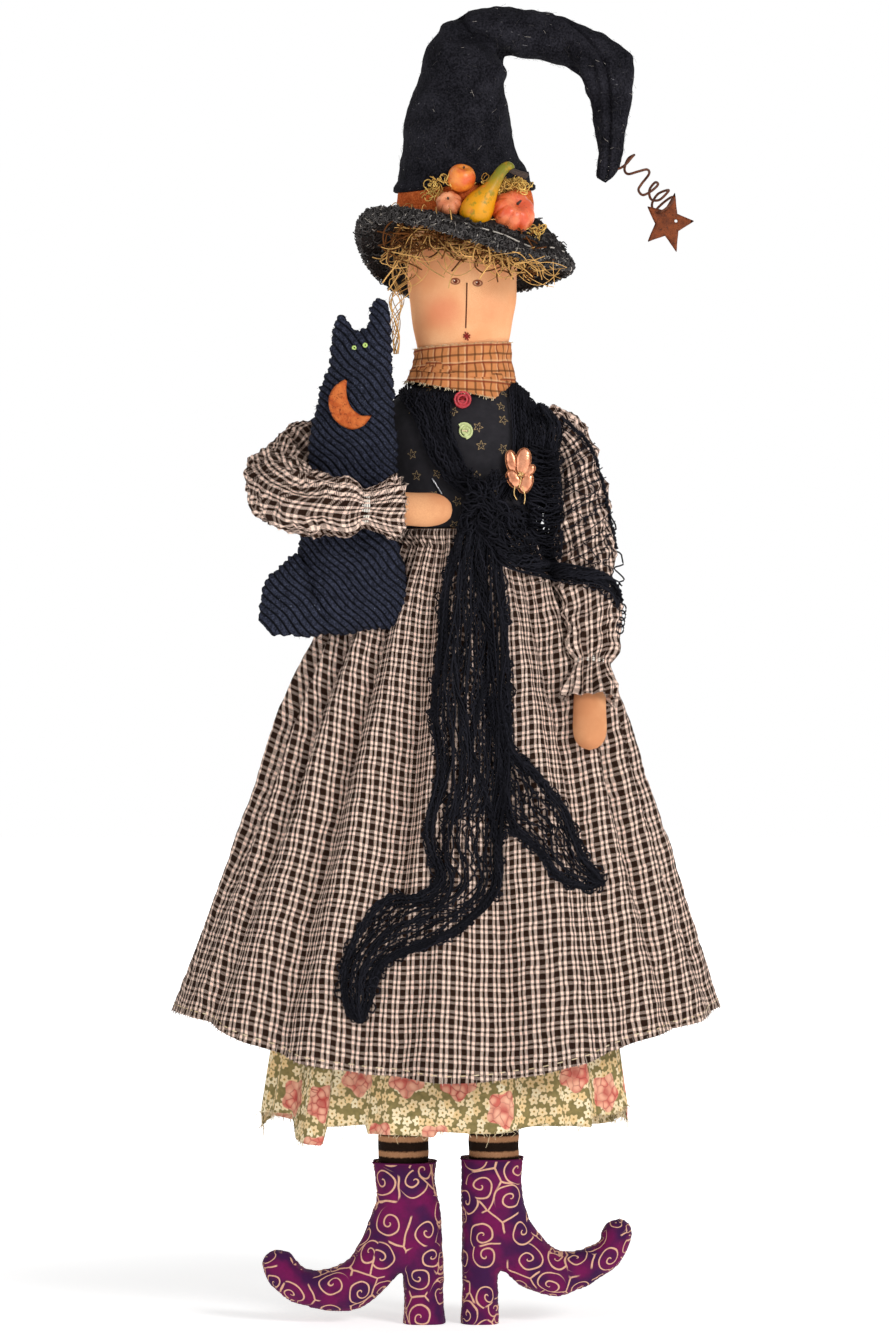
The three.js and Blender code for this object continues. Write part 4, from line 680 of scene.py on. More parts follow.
def rusted(name, base, dark, bright, metal=0.35):
    """Tin with a skin of rust."""
    p = Paint(name, Metallic=metal, Specular_IOR_Level=0.2)
    blotch = p.noise(p.at, 5.0, 5.0, 0.65)
    grain = p.noise(p.at, 0.7, 4.0, 0.7)
    colour = p.mix(p.step(blotch, 0.35, 0.62), base, bright)
    colour = p.mix(p.times(p.step(p.noise(p.at, 2.2, 4.0, 0.7), 0.52, 0.68), 0.85), colour, dark)
    colour = p.mix(p.times(grain, 0.4), colour, dark)
    return p.done(colour, grain, 0.12, p.math("MULTIPLY_ADD", blotch, 0.4, 0.4))


def painted(name, base, blush, speckle, roughness=0.4, size=9.0):
    """Glazed, painted fruit with blotches and specks."""
    p = Paint(name, Roughness=roughness, Coat_Weight=0.15, Coat_Roughness=0.35)
    colour = p.mix(p.step(p.noise(p.at, size, 3.0), 0.35, 0.68), base, blush)
    marks = p.times(p.step(p.noise(p.at, 1.3, 3.0), 0.6, 0.72), 0.6)
    return p.done(p.mix(marks, colour, speckle), p.noise(p.at, 1.5, 3.0), 0.12)


def gourd_paint():
    """Yellow that turns green up the neck, with orange and brown marks."""
    p = Paint("gourd", Roughness=0.42, Specular_IOR_Level=0.3)
    _, _, z = p.split(p.at)
    high = p.step(p.plus(z, p.times(p.noise(p.at, 6.0, 3.0), 7.0)), 727.0, 746.0)
    colour = p.mix(high, rgb(212, 142, 4), rgb(112, 108, 16))
    colour = p.mix(p.step(p.noise(p.at, 5.0, 3.0), 0.52, 0.66), colour, rgb(150, 122, 16))
    colour = p.mix(p.step(p.noise(p.at, 8.0, 2.0), 0.56, 0.7), colour, rgb(214, 112, 20))
    marks = p.times(p.step(p.noise(p.at, 1.4, 3.0), 0.62, 0.72), 0.2)
    return p.done(p.mix(marks, colour, rgb(112, 86, 18)), p.noise(p.at, 2.0, 2.0), 0.12)


def plain(name, base, dark, roughness, size=0.8, deep=0.05, **shader):
    """A moulded or metal surface with slight shading and fine wear."""
    p = Paint(name, **shader)
    wear = p.noise(p.at, size, 4.0, 0.6)
    colour = p.mix(p.step(wear, 0.35, 0.75), base, dark)
    return p.done(colour, wear, deep, p.math("MULTIPLY_ADD", wear, 0.25, roughness - 0.1))


MUSLIN = muslin("muslin", rgb(212, 142, 97), rgb(232, 171, 123))
# The face's muslin is a lighter copy of the hands' muslin: painted light that lifts the shade cast by the
# brim
FACE = muslin("muslin_face", rgb(238, 163, 113), rgb(248, 188, 138), face=True)
CHECK = check_cotton()
PLAID = plaid_cotton()
STARS = star_cotton()
FLORAL = floral_cotton()
STRIPES = stripe_cotton()
BATIK = batik_cotton()
FELT = felt("black_wool", rgb(5, 5, 8), rgb(42, 41, 47), rgb(150, 148, 150))
SHAG = felt("shag_wool", rgb(10, 9, 9), rgb(56, 52, 51), rgb(170, 162, 152), 0.8)
SHAG_YARN = yarn("shag_yarn", rgb(6, 6, 6), rgb(94, 90, 89))
PALE_YARN = yarn("pale_yarn", rgb(120, 112, 104), rgb(208, 200, 190))
KNIT = yarn("black_knit", rgb(2, 2, 4), rgb(34, 34, 41), 0.94, 0.5)
NAVY_YARN = yarn("navy_yarn", rgb(14, 16, 24), rgb(66, 70, 86))
BAND = felt("rust_cloth", rgb(172, 72, 30), rgb(226, 120, 64), rgb(70, 26, 12), 0.6)
CORD = corduroy()
STRAW = yarn("straw", rgb(46, 22, 8), rgb(255, 198, 118), 0.7, 1.5)
# Dark straw for strands that stand in for the brim's shadow: painted shade
PAINTED_SHADE_STRAW = yarn("painted_shade_straw", rgb(26, 13, 5), rgb(112, 66, 28), 0.8, 1.5)
FIBRE = yarn("fibre", rgb(222, 216, 204), rgb(244, 240, 232), 1.0)
RUST = rusted("rusty_tin", rgb(98, 46, 20), rgb(54, 24, 12), rgb(132, 66, 32), 0.15)
MOON = rusted("rusty_moon", rgb(176, 78, 26), rgb(98, 36, 14), rgb(206, 112, 52), 0.1)
WIRE = rusted("rusty_wire", rgb(84, 48, 34), rgb(44, 26, 20), rgb(120, 72, 50))
COPPER = plain("copper", rgb(216, 150, 116), rgb(168, 104, 76), 0.26, 4.0, 0.12, Metallic=1.0)
BRASS = plain("brass", rgb(226, 190, 132), rgb(150, 110, 60), 0.36, 1.0, 0.05, Metallic=0.9)
TRIM = plain("dull_gold", rgb(178, 122, 84), rgb(112, 66, 44), 0.42, 1.0, 0.05, Metallic=0.8)
STEEL = plain("steel", rgb(196, 196, 198), rgb(120, 120, 124), 0.3, 1.0, 0.03, Metallic=0.95)
RED = plain("red_plastic", rgb(190, 48, 58), rgb(146, 26, 38), 0.34, 1.6, Coat_Weight=0.2)
GREEN = plain("green_plastic", rgb(196, 204, 146), rgb(150, 160, 98), 0.38, 1.6, Coat_Weight=0.2)
GLASS = plain("green_glass", rgb(182, 206, 110), rgb(128, 156, 64), 0.2, 0.8, Coat_Weight=0.4)
ORANGE = painted("orange_fruit", rgb(226, 132, 44), rgb(206, 84, 28), rgb(140, 54, 18))
PUMPKIN = painted("pumpkin", rgb(206, 78, 36), rgb(228, 124, 76), rgb(132, 38, 18))
DULL = painted("small_pumpkin", rgb(196, 108, 66), rgb(226, 152, 108), rgb(124, 60, 34), 0.6)
GOURD = gourd_paint()
STEM = plain("gourd_stem", rgb(62, 46, 36), rgb(30, 22, 18), 0.8, 1.0, 0.3)
MOSS = yarn("moss", rgb(140, 88, 24), rgb(255, 216, 124), 0.9, 1.0)
THREAD = yarn("thread", rgb(54, 24, 16), rgb(96, 48, 34))
RED_THREAD = yarn("red_thread", rgb(92, 24, 24), rgb(150, 48, 44))
FRAY = yarn("frayed_threads", rgb(206, 178, 130), rgb(248, 232, 200))
DARK_FRAY = yarn("frayed_check", rgb(30, 18, 12), rgb(226, 204, 188))


def level_rings(sections, low, high, rows, cols, grow=0.0, x=BODY_X, y=0.0):
    """Level rings through sections of (height, half width, half depth)."""
    line = spline([(0, 0, *s) for s in sections], 240)
    z = np.linspace(low, high, rows)
    w, d = (np.interp(z, line[:, 2], line[:, i])[:, None] + grow for i in (3, 4))
    a = np.linspace(0, TAU, cols + 1)
    return np.stack([x + w * np.cos(a), y + d * np.sin(a), z[:, None] + 0 * a], -1)


def outwards(rings, amount, ways=(1, 1, 0)):
    """Rings with each point moved away from its ring's middle."""
    middle = rings[:, :-1].mean(1, keepdims=True)
    return rings + unit((rings - middle) * ways) * np.asarray(amount)[..., None]


# Torso, legs and boots

# Sections from below: height, half width and half depth
TORSO = [
    (426, 41.6, 27), (452, 52, 36), (483, 49.6, 36), (514, 46, 34), (544, 50.8, 33), (574, 54, 33),
    (593.2, 48, 29), (606, 34, 23),
]
LEG = [(88, 16, 16), (100, 16.2, 16.2), (400, 16, 16), (412, 14.5, 14.5), (421, 9, 9), (424.5, 3, 3)]
BODICE_LOW, BODICE_HIGH, BODICE_OUT = 514.5, 605.6, 1.6
# Each boot: the middle of its leg, how far it is set down, and its outline in photograph pixels, of which
# the first three are its top
BOOTS = {
    "right": (-27.25, 2.3, [
        (375, 1159), (404, 1158), (433, 1159), (434.5, 1175), (441, 1210), (443, 1240), (443.5, 1290),
        (444, 1330), (424, 1333), (404, 1330), (403, 1300), (402.5, 1274), (399, 1271), (386, 1285),
        (365.5, 1302), (345, 1308), (318, 1306), (292, 1298), (274, 1285), (263, 1268), (263, 1254),
        (275, 1246), (289, 1248), (297, 1258), (305, 1264), (318.5, 1266), (337, 1261), (351, 1252),
        (359, 1238), (368, 1219), (375, 1198), (376.5, 1183), (375.5, 1168),
    ]),
    "left": (31.25, 0.0, [
        (522, 1159), (494, 1158), (465, 1159), (462.5, 1175), (461.5, 1210), (461.5, 1250),
        (461.5, 1300), (461, 1334), (479, 1337), (498, 1334), (498.5, 1305), (499, 1277), (503, 1272),
        (520, 1285), (541, 1294), (559, 1296.5), (585, 1287), (606, 1274), (622, 1261), (631, 1243),
        (631, 1227), (622, 1219), (607, 1222), (601.5, 1231), (600, 1240), (588, 1246), (567, 1251),
        (551, 1245.5), (536, 1228), (529, 1214), (522.5, 1193), (520.5, 1178), (521, 1167),
    ]),
}
# How far the boot's shape runs on above its top before it is cut level
BOOT_SPARE = 15

torso = skin("torso", level_rings(TORSO, TORSO[0][0], TORSO[-1][0], 40, 48), MUSLIN, caps=(True, True))
place(torso, "torso_body", "muslin", "torso")

bodice_rings = level_rings(TORSO, BODICE_LOW, BODICE_HIGH, 46, 120, BODICE_OUT)
bodice_rings = outwards(bodice_rings, 0.7 * wobble(bodice_rings, 30, 3) + 0.3)
bodice = skin("bodice", bodice_rings, STARS, cloth_uv(bodice_rings), thickness=0.8)
place(bodice, "torso_body", "star_cotton", "bodice")


def cut_level(obj, top):
    """Cuts an object level at a height and closes it; returns the cut's edge, in order about its middle."""
    bm = bmesh.new()
    bm.from_mesh(obj.data)
    everything = bm.verts[:] + bm.edges[:] + bm.faces[:]
    cut = {"plane_co": (0, 0, top * MM), "plane_no": (0, 0, 1), "clear_outer": True}
    bmesh.ops.bisect_plane(bm, geom=everything, **cut)
    rim = [e for e in bm.edges if e.is_boundary]
    edge = np.array([v.co for v in {v for e in rim for v in e.verts}]) / MM
    bmesh.ops.holes_fill(bm, edges=rim, sides=0)
    bm.to_mesh(obj.data)
    bm.free()
    away = edge - edge.mean(0)
    return edge[np.argsort(np.arctan2(away[:, 1], away[:, 0]))]


def above_floor(obj):
    """Presses flat what would reach below the floor."""
    points = np.empty(len(obj.data.vertices) * 3, np.float32)
    obj.data.vertices.foreach_get("co", points)
    points[2::3] = np.maximum(points[2::3], 0)
    obj.data.vertices.foreach_set("co", points)
    obj.data.update()


def leg_pieces(side, leg_x, drop, outline):
    """A boot with its rim, and the leg in it."""
    body = f"{side}_leg_body"
    flat = flat_pixels(outline, LEGS_Y) - [0, drop]
    top = flat[1, 1]
    flat[:3, 1] += BOOT_SPARE

    def boot_push(p, n):
        fuller = np.clip((p[:, 2] - top + 40) / 30, 0, 1) * np.abs(n[:, 1]) ** 0.5
        return 0.5 * wobble(p, 14, 5) + 3.6 * fuller

    boot = pillow(f"{side}_boot", flat, lambda full: 2.5 * full**0.33, BATIK, LEGS_Y, 1.8, 1)
    pushed(boot, boot_push)
    edge = cut_level(boot, top)
    place(strands(f"{side}_boot_rim", [np.vstack([edge, edge[:2]])], 0.55, BATIK, 6), body, "batik_cotton")
    above_floor(boot)
    place(boot, body, "batik_cotton", f"{side}_boot")
    leg_rings = level_rings(LEG, LEG[0][0], LEG[-1][0], 90, 40, 0, leg_x, LEGS_Y)
    leg = skin(f"{side}_leg", leg_rings, STRIPES, caps=(True, True))
    pushed(leg, lambda p, n: 0.3 * wobble(p, 9, 6))
    place(leg, body, "stripe_cotton", f"{side}_leg")


for side, form in BOOTS.items():
    leg_pieces(side, *form)


# Skirt and petticoat: gathered at the waist, with pleats that open towards the hem

WAIST_WIDE, WAIST_DEEP = 46, 34
SKIRT_HEM_FRONT, SKIRT_HEM_SIDE = 162, 204
# The petticoat's ragged hem at the front: x and height
HEM_STEPS = [
    (-140, 137), (-104, 137), (-102, 122), (-80, 121), (-78, 133), (-54, 133), (-52, 127), (-8, 126),
    (-5, 130), (92, 131), (94, 138), (140, 139),
]
# Threads on that hem: how many of each length
HEM_THREADS = [(460, 4.5), (50, 13.0)]


def gathered(rows, cols, wide, deep, hem, folds, depth, waist_out, creases, seed):
    """Rings of a skirt from the waist to its hem, with even pleats and some creases of their own."""
    r = np.random.default_rng(seed)
    a = np.linspace(0.5 * math.pi, 2.5 * math.pi, cols + 1)[None]
    t = np.linspace(0, 1, rows)[:, None]
    flare = t**0.93
    phase = folds * a + 0.9 * np.sin(2 * a)
    swing = 0.5 + 0.5 * np.cos(phase + 0.5 * np.sin(3 * t + 3 * a))
    level = 1 - 0.8 * np.abs(np.cos(a)) ** 4 * t**2
    amount = depth * np.minimum(1, 1.9 * t**0.7) * (1 - 0.35 * t) * level
    fold = amount * swing**0.6 - np.minimum(0.55 * amount, 14 * t)
    for _ in range(creases):
        middle, width = r.uniform(0, TAU), r.uniform(0.04, 0.1)
        start, tall, lean = r.uniform(-0.1, 0.35), r.uniform(2.0, 6.0), r.normal(0, 0.1)
        away = (a - middle - lean * t + math.pi) % TAU - math.pi
        grown = np.clip((t - start) / 0.4, 0, 1)
        ridge, hollow = np.exp(-((away / width) ** 2)), np.exp(-(((away - 1.7 * width) / width) ** 2))
        fold = fold + tall * grown * level * (ridge - 0.6 * hollow)
    tucks = 2.2 * np.exp(-t * 4.5) * np.cos(3.6 * phase + 1.5 * np.sin(4 * a + seed))
    tucks = tucks * np.clip(t * 30, 0.25, 1)
    out = waist_out * (1 - flare) + fold + tucks
    x = lerp(BODY_X, 0, flare) + (lerp(WAIST_WIDE, wide, flare) + out) * np.cos(a)
    y = (lerp(WAIST_DEEP, deep, flare) + out) * np.sin(a)
    z = lerp(WAIST + 0 * a, hem(a) + 1.6 * np.sin(7 * a + seed), t)
    return np.stack([x, y, z], -1)


def skirt_hem(a):
    return lerp(SKIRT_HEM_FRONT, SKIRT_HEM_SIDE, np.abs(np.cos(a)) ** 1.6)


def petticoat_hem(a):
    z = np.interp(122 * np.cos(a), *np.array(HEM_STEPS).T)
    return np.where(np.sin(a) < 0, z, 128 + 4 * np.sin(7 * a))


skirt_rings = gathered(
    rows=150, cols=620, wide=176, deep=97, hem=skirt_hem,
    folds=16, depth=19.0, waist_out=4.5, creases=18, seed=1,
)
skirt_uv = cloth_uv(skirt_rings, 0.6)
skirt_rings = outwards(skirt_rings, 0.35 * crumple(skirt_rings, 9, 71) + 0.5 * wobble(skirt_rings, 22, 72))
skirt = skin("skirt", skirt_rings, CHECK, skirt_uv, thickness=0.8)
place(skirt, "torso_body", "check_cotton", "skirt")
skirt_tree = tree_of(skirt)

petticoat_rings = gathered(
    rows=110, cols=600, wide=118, deep=74, hem=petticoat_hem,
    folds=14, depth=11.0, waist_out=0.3, creases=26, seed=2,
)
petticoat = skin("petticoat", petticoat_rings, FLORAL, cloth_uv(petticoat_rings, 0.6), thickness=0.6)
place(petticoat, "torso_body", "floral_cotton", "petticoat")

fray = []
hem_row = petticoat_rings[-1]
for count, reach in HEM_THREADS:
    for i in rng.integers(0, len(hem_row) - 1, count):
        drop = np.array([rng.normal(0, 1.5), rng.normal(0, 1.5), -abs(rng.normal(0.5, 0.3)) * reach])
        bend = rng.normal(0, 1.2, 3)
        fray.append(hem_row[i] + np.outer([0, 0.5, 1], drop) + np.outer([0, 1, 0], bend) + [0, 0, 0.8])
place(strands("petticoat_fray", fray, 0.16, FRAY, 3), "torso_body", "floral_cotton")
hem = []
for above, before, edge in skirt_rings[-3:, :-3:3].transpose(1, 0, 2):
    down = unit(edge - before)
    hem.append(np.array([above, edge + 0.6 * down, edge + 1.2 * down]))
place(strands("skirt_hem_stitches", hem, 0.3, DARK_FRAY, 3), "torso_body", "check_cotton")
thread_row = outwards(skirt_rings[-3:-2], 0.35)[0]
running = [thread_row[i:i + 3] for i in range(0, len(thread_row) - 4, 5)]
place(strands("skirt_hem_thread", running, 0.32, FRAY, 4), "torso_body", "thread")


# Head with its stitched features

# Sections from below: height, half width and half depth
HEAD = [
    (606.5, 13, 2), (610, 19, 12), (616, 25, 18), (624, 28.3, 21.7), (628.3, 28.5, 22),
    (646.3, 32.1, 25), (668.3, 35, 28), (695, 35, 28), (717, 30, 24), (731, 19, 15.5), (736.3, 7, 5.6),
]
# Photograph pixels of the nose and the mouth, and turn and half length of the mouth's stitches
NOSE = [(466.9, 283), (466.6, 300), (465.8, 327.8)]
MOUTH = (466.7, 336)
MOUTH_STITCHES = [(0.3, 2.4), (1.2, 2.4), (1.9, 2.9), (2.7, 2.4)]

head = skin("head", level_rings(HEAD, HEAD[0][0], HEAD[-1][0], 90, 72), FACE, caps=(True, True))
pushed(head, lambda p, n: 0.35 * wobble(p, 24, 8))
place(head, "head_body", "muslin", "head")
head_tree = tree_of(head)
nose = [at_photo(*p, FACE_Y) for p in spline(NOSE, 30)]
place(strands("nose_stitch", [laid(head_tree, nose, 0.12)], 0.42, THREAD, 6), "head_body", "thread")
mouth = []
for turn, half in MOUTH_STITCHES:
    way = np.array([math.cos(turn), 0, math.sin(turn)]) * half
    mouth.append(laid(head_tree, at_photo(*MOUTH, -25) + np.outer(np.linspace(-1, 1, 7), way), 0.2))
place(strands("mouth_stitch", mouth, 0.5, RED_THREAD, 6), "head_body", "thread")


# Neck scarf: two turns of frayed plaid

# Each turn from its upper edge: height, half width, half depth and slope
SCARF_TOP = [
    (633.6, 30.8, 24.4, 0.07), (628, 31.0, 24.8, 0.05), (621, 31.6, 25.2, 0.0),
    (613, 34.0, 27.6, -0.12),
]
SCARF_LOW = [
    (622, 30.9, 24.6, -0.04), (615, 33.6, 27.6, -0.1), (609, 34.8, 29.4, -0.16),
    (602.5, 36.4, 31.4, -0.22),
]
SCARF_ROWS, SCARF_COLS = 26, 201


def scarf_turn(levels, wave, seed):
    """One turn about the neck, with its flat cloth coordinates."""
    line = spline([(0, 0, *s) for s in levels], SCARF_ROWS)
    a = np.linspace(0.5 * math.pi, 2.5 * math.pi, SCARF_COLS)[None]
    z, w, d, slope = (line[:, i, None] for i in (2, 3, 4, 5))
    x, y = w * np.cos(a), d * np.sin(a)
    rings = np.stack([BODY_X + x, y, z + slope * x + 0 * a], -1)
    s = np.linspace(0, 1, SCARF_ROWS)[:, None]
    push = 0.5 * wobble(rings, 12, seed) + 0.45 * crumple(rings, 10, seed + 5)
    push = push + 0.5 * s * np.sin(7 * a + 4 * s)
    return outwards(rings, wave * push), cloth_uv(rings)


top_turn, top_uv = scarf_turn(SCARF_TOP, 1.1, 21)
low_turn, low_uv = scarf_turn(SCARF_LOW, 1.5, 22)
turns = (("neck_scarf", top_turn, top_uv, 0.021), ("neck_scarf_lower_turn", low_turn, low_uv, 0.023))
for name, rings, uv, tall in turns:
    scarf = skin(name, rings, PLAID, uv, thickness=0.7)
    if name == "neck_scarf":
        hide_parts("neck_scarf")
    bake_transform(scarf)
frays = (("scarf_fray", low_turn[-1], 260, -1), ("scarf_top_fray", top_turn[0], 70, 0.4))
for name, row, count, fall in frays:
    fray = []
    for i in rng.integers(0, SCARF_COLS - 1, count):
        start = row[i] + [0, 0, -0.5 * fall]
        out = unit(start - [BODY_X, 0, start[2]]) * rng.uniform(0, 1.2)
        end = out + [rng.normal(0, 0.9), 0, fall * rng.uniform(0.8, 2.6)]
        fray.append(start + np.outer([0, 0.5, 1], end))
    threads = strands(name, fray, 0.17, FRAY, 3)
    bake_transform(threads)


# Hat: a bent felt crown on a shaggy brim, with a band between

# The crown's cross-sections: pixels of its outer and inner edge in the photograph, and half its depth
CROWN = [
    (399, 181, 531, 181, 38.5), (400, 166, 524, 166, 37.5), (402, 150, 515, 153, 34.5),
    (404, 121, 511, 126, 33), (411, 97, 507, 104, 30.5), (420, 73, 503.5, 84, 27),
    (427, 48, 503, 68, 23.5), (446, 27, 504, 58, 20.5), (470, 11, 507, 56, 18), (505, 7, 516, 57, 16),
    (534, 10, 528, 59, 15), (560, 16, 546, 61, 14.4), (596, 31, 568, 69, 13.6),
    (629, 52, 580, 76, 12.6), (633.5, 66, 585, 88, 12), (631, 102, 591, 108, 11),
    (625.5, 136, 595, 138, 8.6), (620, 166, 600, 168, 6), (610, 180, 601, 178, 2.4),
    (606, 183, 602.5, 181, 0.6),
]
CROWN_ROWS, CROWN_COLS = 200, 141
# The rolled hem under the crown, as heights and how far each stands out from the mouth
CROWN_HEM = [(746, -3.0), (740, -1.4), (735.5, 0.4), (734, 2.0), (735, 3.4), (737.5, 3.2)]
MOUTH_WIDE, MOUTH_DEEP = 43, 38
# Creases on the front: pixels along each, how far it is pushed out, and its width
CROWN_SEAM = np.array([(556, 17), (585, 38), (602, 66), (608, 100), (608, 140), (605.5, 180)])
CROWN_CREASES = [
    (CROWN_SEAM + (-4.6, 1.8), 2.6, 2.4),
    (CROWN_SEAM + (0.6, -0.2), -3.4, 1.5),
    ([(506, 58), (490, 48), (472, 42), (455, 41)], -6.0, 4.2),
    ([(500, 72), (482, 64), (462, 58)], 3.6, 5.6),
    ([(460, 16), (462, 28), (470, 37), (484, 40)], -4.2, 3.2),
    ([(448, 28), (450, 42), (444, 56)], 2.8, 5.0),
    ([(582, 82), (572, 70), (566, 58), (566, 46)], -3.6, 2.4),
    ([(592, 92), (586, 76), (580, 60)], 2.0, 3.0),
    ([(632, 64), (620, 66), (612, 74)], -2.0, 2.4),
    ([(414, 118), (446, 112), (478, 122)], -2.6, 7.0),
    ([(424, 84), (446, 94), (470, 90)], -2.4, 6.0),
    ([(470, 140), (480, 110), (486, 84)], 1.8, 8.0),
]
LINT, PALE_LINT = 800, 100

pairs = np.array([[*at_photo(ox, oy), *at_photo(ix, iy), d] for ox, oy, ix, iy, d in CROWN])
outer, inner = pairs[:, :3], pairs[:, 3:6]
crown_line = spline(np.hstack([(outer + inner) / 2, (outer - inner) / 2, pairs[:, 6:]]), CROWN_ROWS)
a = np.linspace(0, TAU, CROWN_COLS)
middle, half, deep = crown_line[:, None, :3], crown_line[:, None, 3:6], crown_line[:, None, 6:]
crown_rings = middle + np.cos(a)[:, None] * half + np.sin(a)[:, None] * deep * [0, 1, 0]
hem_rings = []
for z, grow in CROWN_HEM:
    x, y = HAT_X - (MOUTH_WIDE + grow) * np.cos(a), (MOUTH_DEEP + grow) * np.sin(a)
    ring = np.stack([x, y, np.full(CROWN_COLS, z)], 1)
    ring[:, 2] += 1.2 * np.sin(3 * a + 0.6) - 1.5 * np.cos(a)
    hem_rings.append(ring)
crown_rings = np.concatenate([np.array(hem_rings), crown_rings])


def crease(p, line, width):
    """1 along a line of photograph pixels on the front, fading away from it."""
    path = np.array([at_photo(*q)[[0, 2]] for q in spline(line, 60)])
    away = np.linalg.norm(p[:, None, [0, 2]] - path[None], axis=2).min(1)
    return np.exp(-((away / width) ** 2)) * (p[:, 1] < 1)


points = crown_rings.reshape(-1, 3)
push = 0.7 * wobble(points, 26, 31) + 0.4 * wobble(points, 9, 32)
for line, tall, width in CROWN_CREASES:
    push += tall * crease(points, line, width)
push = push.reshape(crown_rings.shape[:2])
push[:, -1] = push[:, 0]
crown_rings = outwards(crown_rings, push, (1, 1, 1))
crown = skin("hat_crown", crown_rings, FELT, caps=(False, True), thickness=1.2)
place(crown, "head_body", "black_wool", "hat_crown")
crown_tree = tree_of(crown)
stuffed = crown_rings[len(hem_rings)::2]
stuffed = lerp(stuffed[:, :-1].mean(1, keepdims=True), stuffed, 0.86)
filling = skin("hat_filling", stuffed, FIBRE, caps=(True, True))
place(filling, "head_body", "fibre", "hat_filling")
fuzz = []
for _ in range(LINT + PALE_LINT):
    i, j = rng.integers(8, len(crown_rings) - 6), rng.integers(0, CROWN_COLS - 1)
    out = unit(crown_rings[i, j] - crown_rings[i, :-1].mean(0))
    lean = rng.normal(0, 1, 3)
    lean -= out * (lean @ out)
    fuzz.append(crown_rings[i, j] + np.outer([-0.1, 0.6, 0.8], out) + np.outer([0, 0.9, 2.0], lean))
place(strands("hat_lint", fuzz[:LINT], 0.07, SHAG_YARN, 3), "head_body", "black_wool")
place(strands("hat_pale_lint", fuzz[LINT:], 0.09, PALE_YARN, 3), "head_body", "black_wool")

# The band's levels: height and how far it stands out from the mouth
BAND_LEVELS = [(714.5, 0.6), (717, 1.0), (721, 1.2), (727, 1.2), (732, 0.8), (736, -0.6)]
BAND_COLS = 161
a = np.linspace(0, TAU, BAND_COLS)
band_rings = []
for z, grow in BAND_LEVELS:
    x, y = HAT_X + (MOUTH_WIDE + grow) * np.cos(a), (MOUTH_DEEP + grow) * np.sin(a)
    band_rings.append(np.stack([x, y, np.full(BAND_COLS, z)], 1))
band_rings = np.array(band_rings)
band_rings = outwards(band_rings, 0.5 * wobble(band_rings, 7, 33))
band = skin("hat_band", band_rings, BAND, cloth_uv(band_rings), thickness=1.2)
place(band, "head_body", "rust_cloth", "hat_band")

# The brim's dip at eight even steps round the hat, as a wave, and its height, reach and fall
BRIM_WAVE = np.fft.fft([-0.66, -0.66, -0.3, 0, -0.19, -0.85, -0.95, -0.82]) / 8
BRIM_HEIGHT, BRIM_FALL = 715.4, 44
BRIM_WIDE, BRIM_DEEP = (39.8, 68), (34.8, 62)
# The brim's section: share of its reach, and height above its middle
BRIM_SECTION = [
    (0, 1.6), (0.25, 2.2), (0.5, 2.3), (0.72, 2.6), (0.86, 4.0), (0.98, 3.6),
    (1.05, 0), (1.0, -3.4), (0.88, -3.6), (0.74, -2.5), (0.5, -2.2), (0.25, -2.2),
    (0, -2.0), (-0.05, -0.2),
]
# Running stitches near the brim's edge, as turns about the hat
BRIM_STITCHES = [
    (1.02, 1.3), (1.34, 1.44), (1.52, 1.6), (0.5, 0.58), (0.72, 0.8), (0.9, 0.97), (0.28, 0.33),
    (2.0, 2.1),
]


def brim_height(a, share):
    wave = BRIM_WAVE[0].real + BRIM_WAVE[4].real * np.cos(4 * a)
    for k in (1, 2, 3):
        wave = wave + 2 * (BRIM_WAVE[k] * np.exp(1j * k * a)).real
    return BRIM_HEIGHT + BRIM_FALL * wave * (np.maximum(0, share - 0.14) / 0.86) ** 1.4


def brim_point(a, share, lift):
    out, deep = lerp(*BRIM_WIDE, share), lerp(*BRIM_DEEP, share)
    height = brim_height(a, np.clip(share, 0, 1.0)) + lift
    return np.stack([HAT_X + out * np.cos(a), -deep * np.sin(a), height], -1)


brim_section = spline(BRIM_SECTION, 44, closed=True)
a = np.linspace(0, TAU, 241)
brim_rings = [brim_point(a, share, lift) for share, lift in np.vstack([brim_section, brim_section[:1]])]
brim = skin("hat_brim", np.array(brim_rings), SHAG)
pushed(brim, lambda p, n: 0.9 * wobble(p, 9, 34) + 0.5 * wobble(p, 4, 35))
place(brim, "head_body", "shag_wool", "hat_brim")


def brim_curls(count, low, high, rise, size, share_of=(0.15, 1.06)):
    """Small loops of yarn standing off the brim, between two places along its section."""
    out = []
    middle = brim_section.mean(0)
    for _ in range(count):
        k = rng.uniform(low, high) * len(brim_section)
        share, lift = brim_section[int(k) % len(brim_section)]
        if not share_of[0] <= share <= share_of[1]:
            continue
        turn = rng.uniform(0, TAU)
        foot = brim_point(np.array(turn), share, lift)
        away = np.array([math.cos(turn), -math.sin(turn), 0]) * (share - middle[0] - 0.1) * 28
        away = unit(away + np.array([0, 0, lift * 4]))
        side = unit(rng.normal(0, 1, 3))
        side -= away * (side @ away)
        s = np.linspace(0, 1, 6)
        bow = np.sin(s * math.pi * rng.uniform(0.7, 1.1))
        curl = foot + np.outer(bow * rise * rng.uniform(0.4, 1.2), away)
        curl = curl + np.outer((s - 0.3) * size * rng.uniform(0.4, 1.3), side)
        out.append(curl + rng.normal(0, 0.25, (6, 3)))
    return out


curls = brim_curls(4200, 0, 1, 1.8, 5.0)
place(strands("brim_curls", curls, 0.42, SHAG_YARN, 4), "head_body", "shag_wool")
curls = brim_curls(260, 0.25, 0.75, 1.6, 5.0, (0.7, 1.06))
place(strands("brim_pale_curls", curls, 0.28, PALE_YARN, 3), "head_body", "shag_wool")
stitch = []
for start, end in BRIM_STITCHES:
    turn = np.linspace(start, end, 12)
    stitch.append(brim_point(turn, np.full(12, 0.93) + 0.03 * np.sin(9 * turn), np.full(12, 4.9)))
place(strands("brim_stitches", stitch, 0.55, PALE_YARN, 5), "head_body", "shag_wool")


# Fruit and moss on the brim

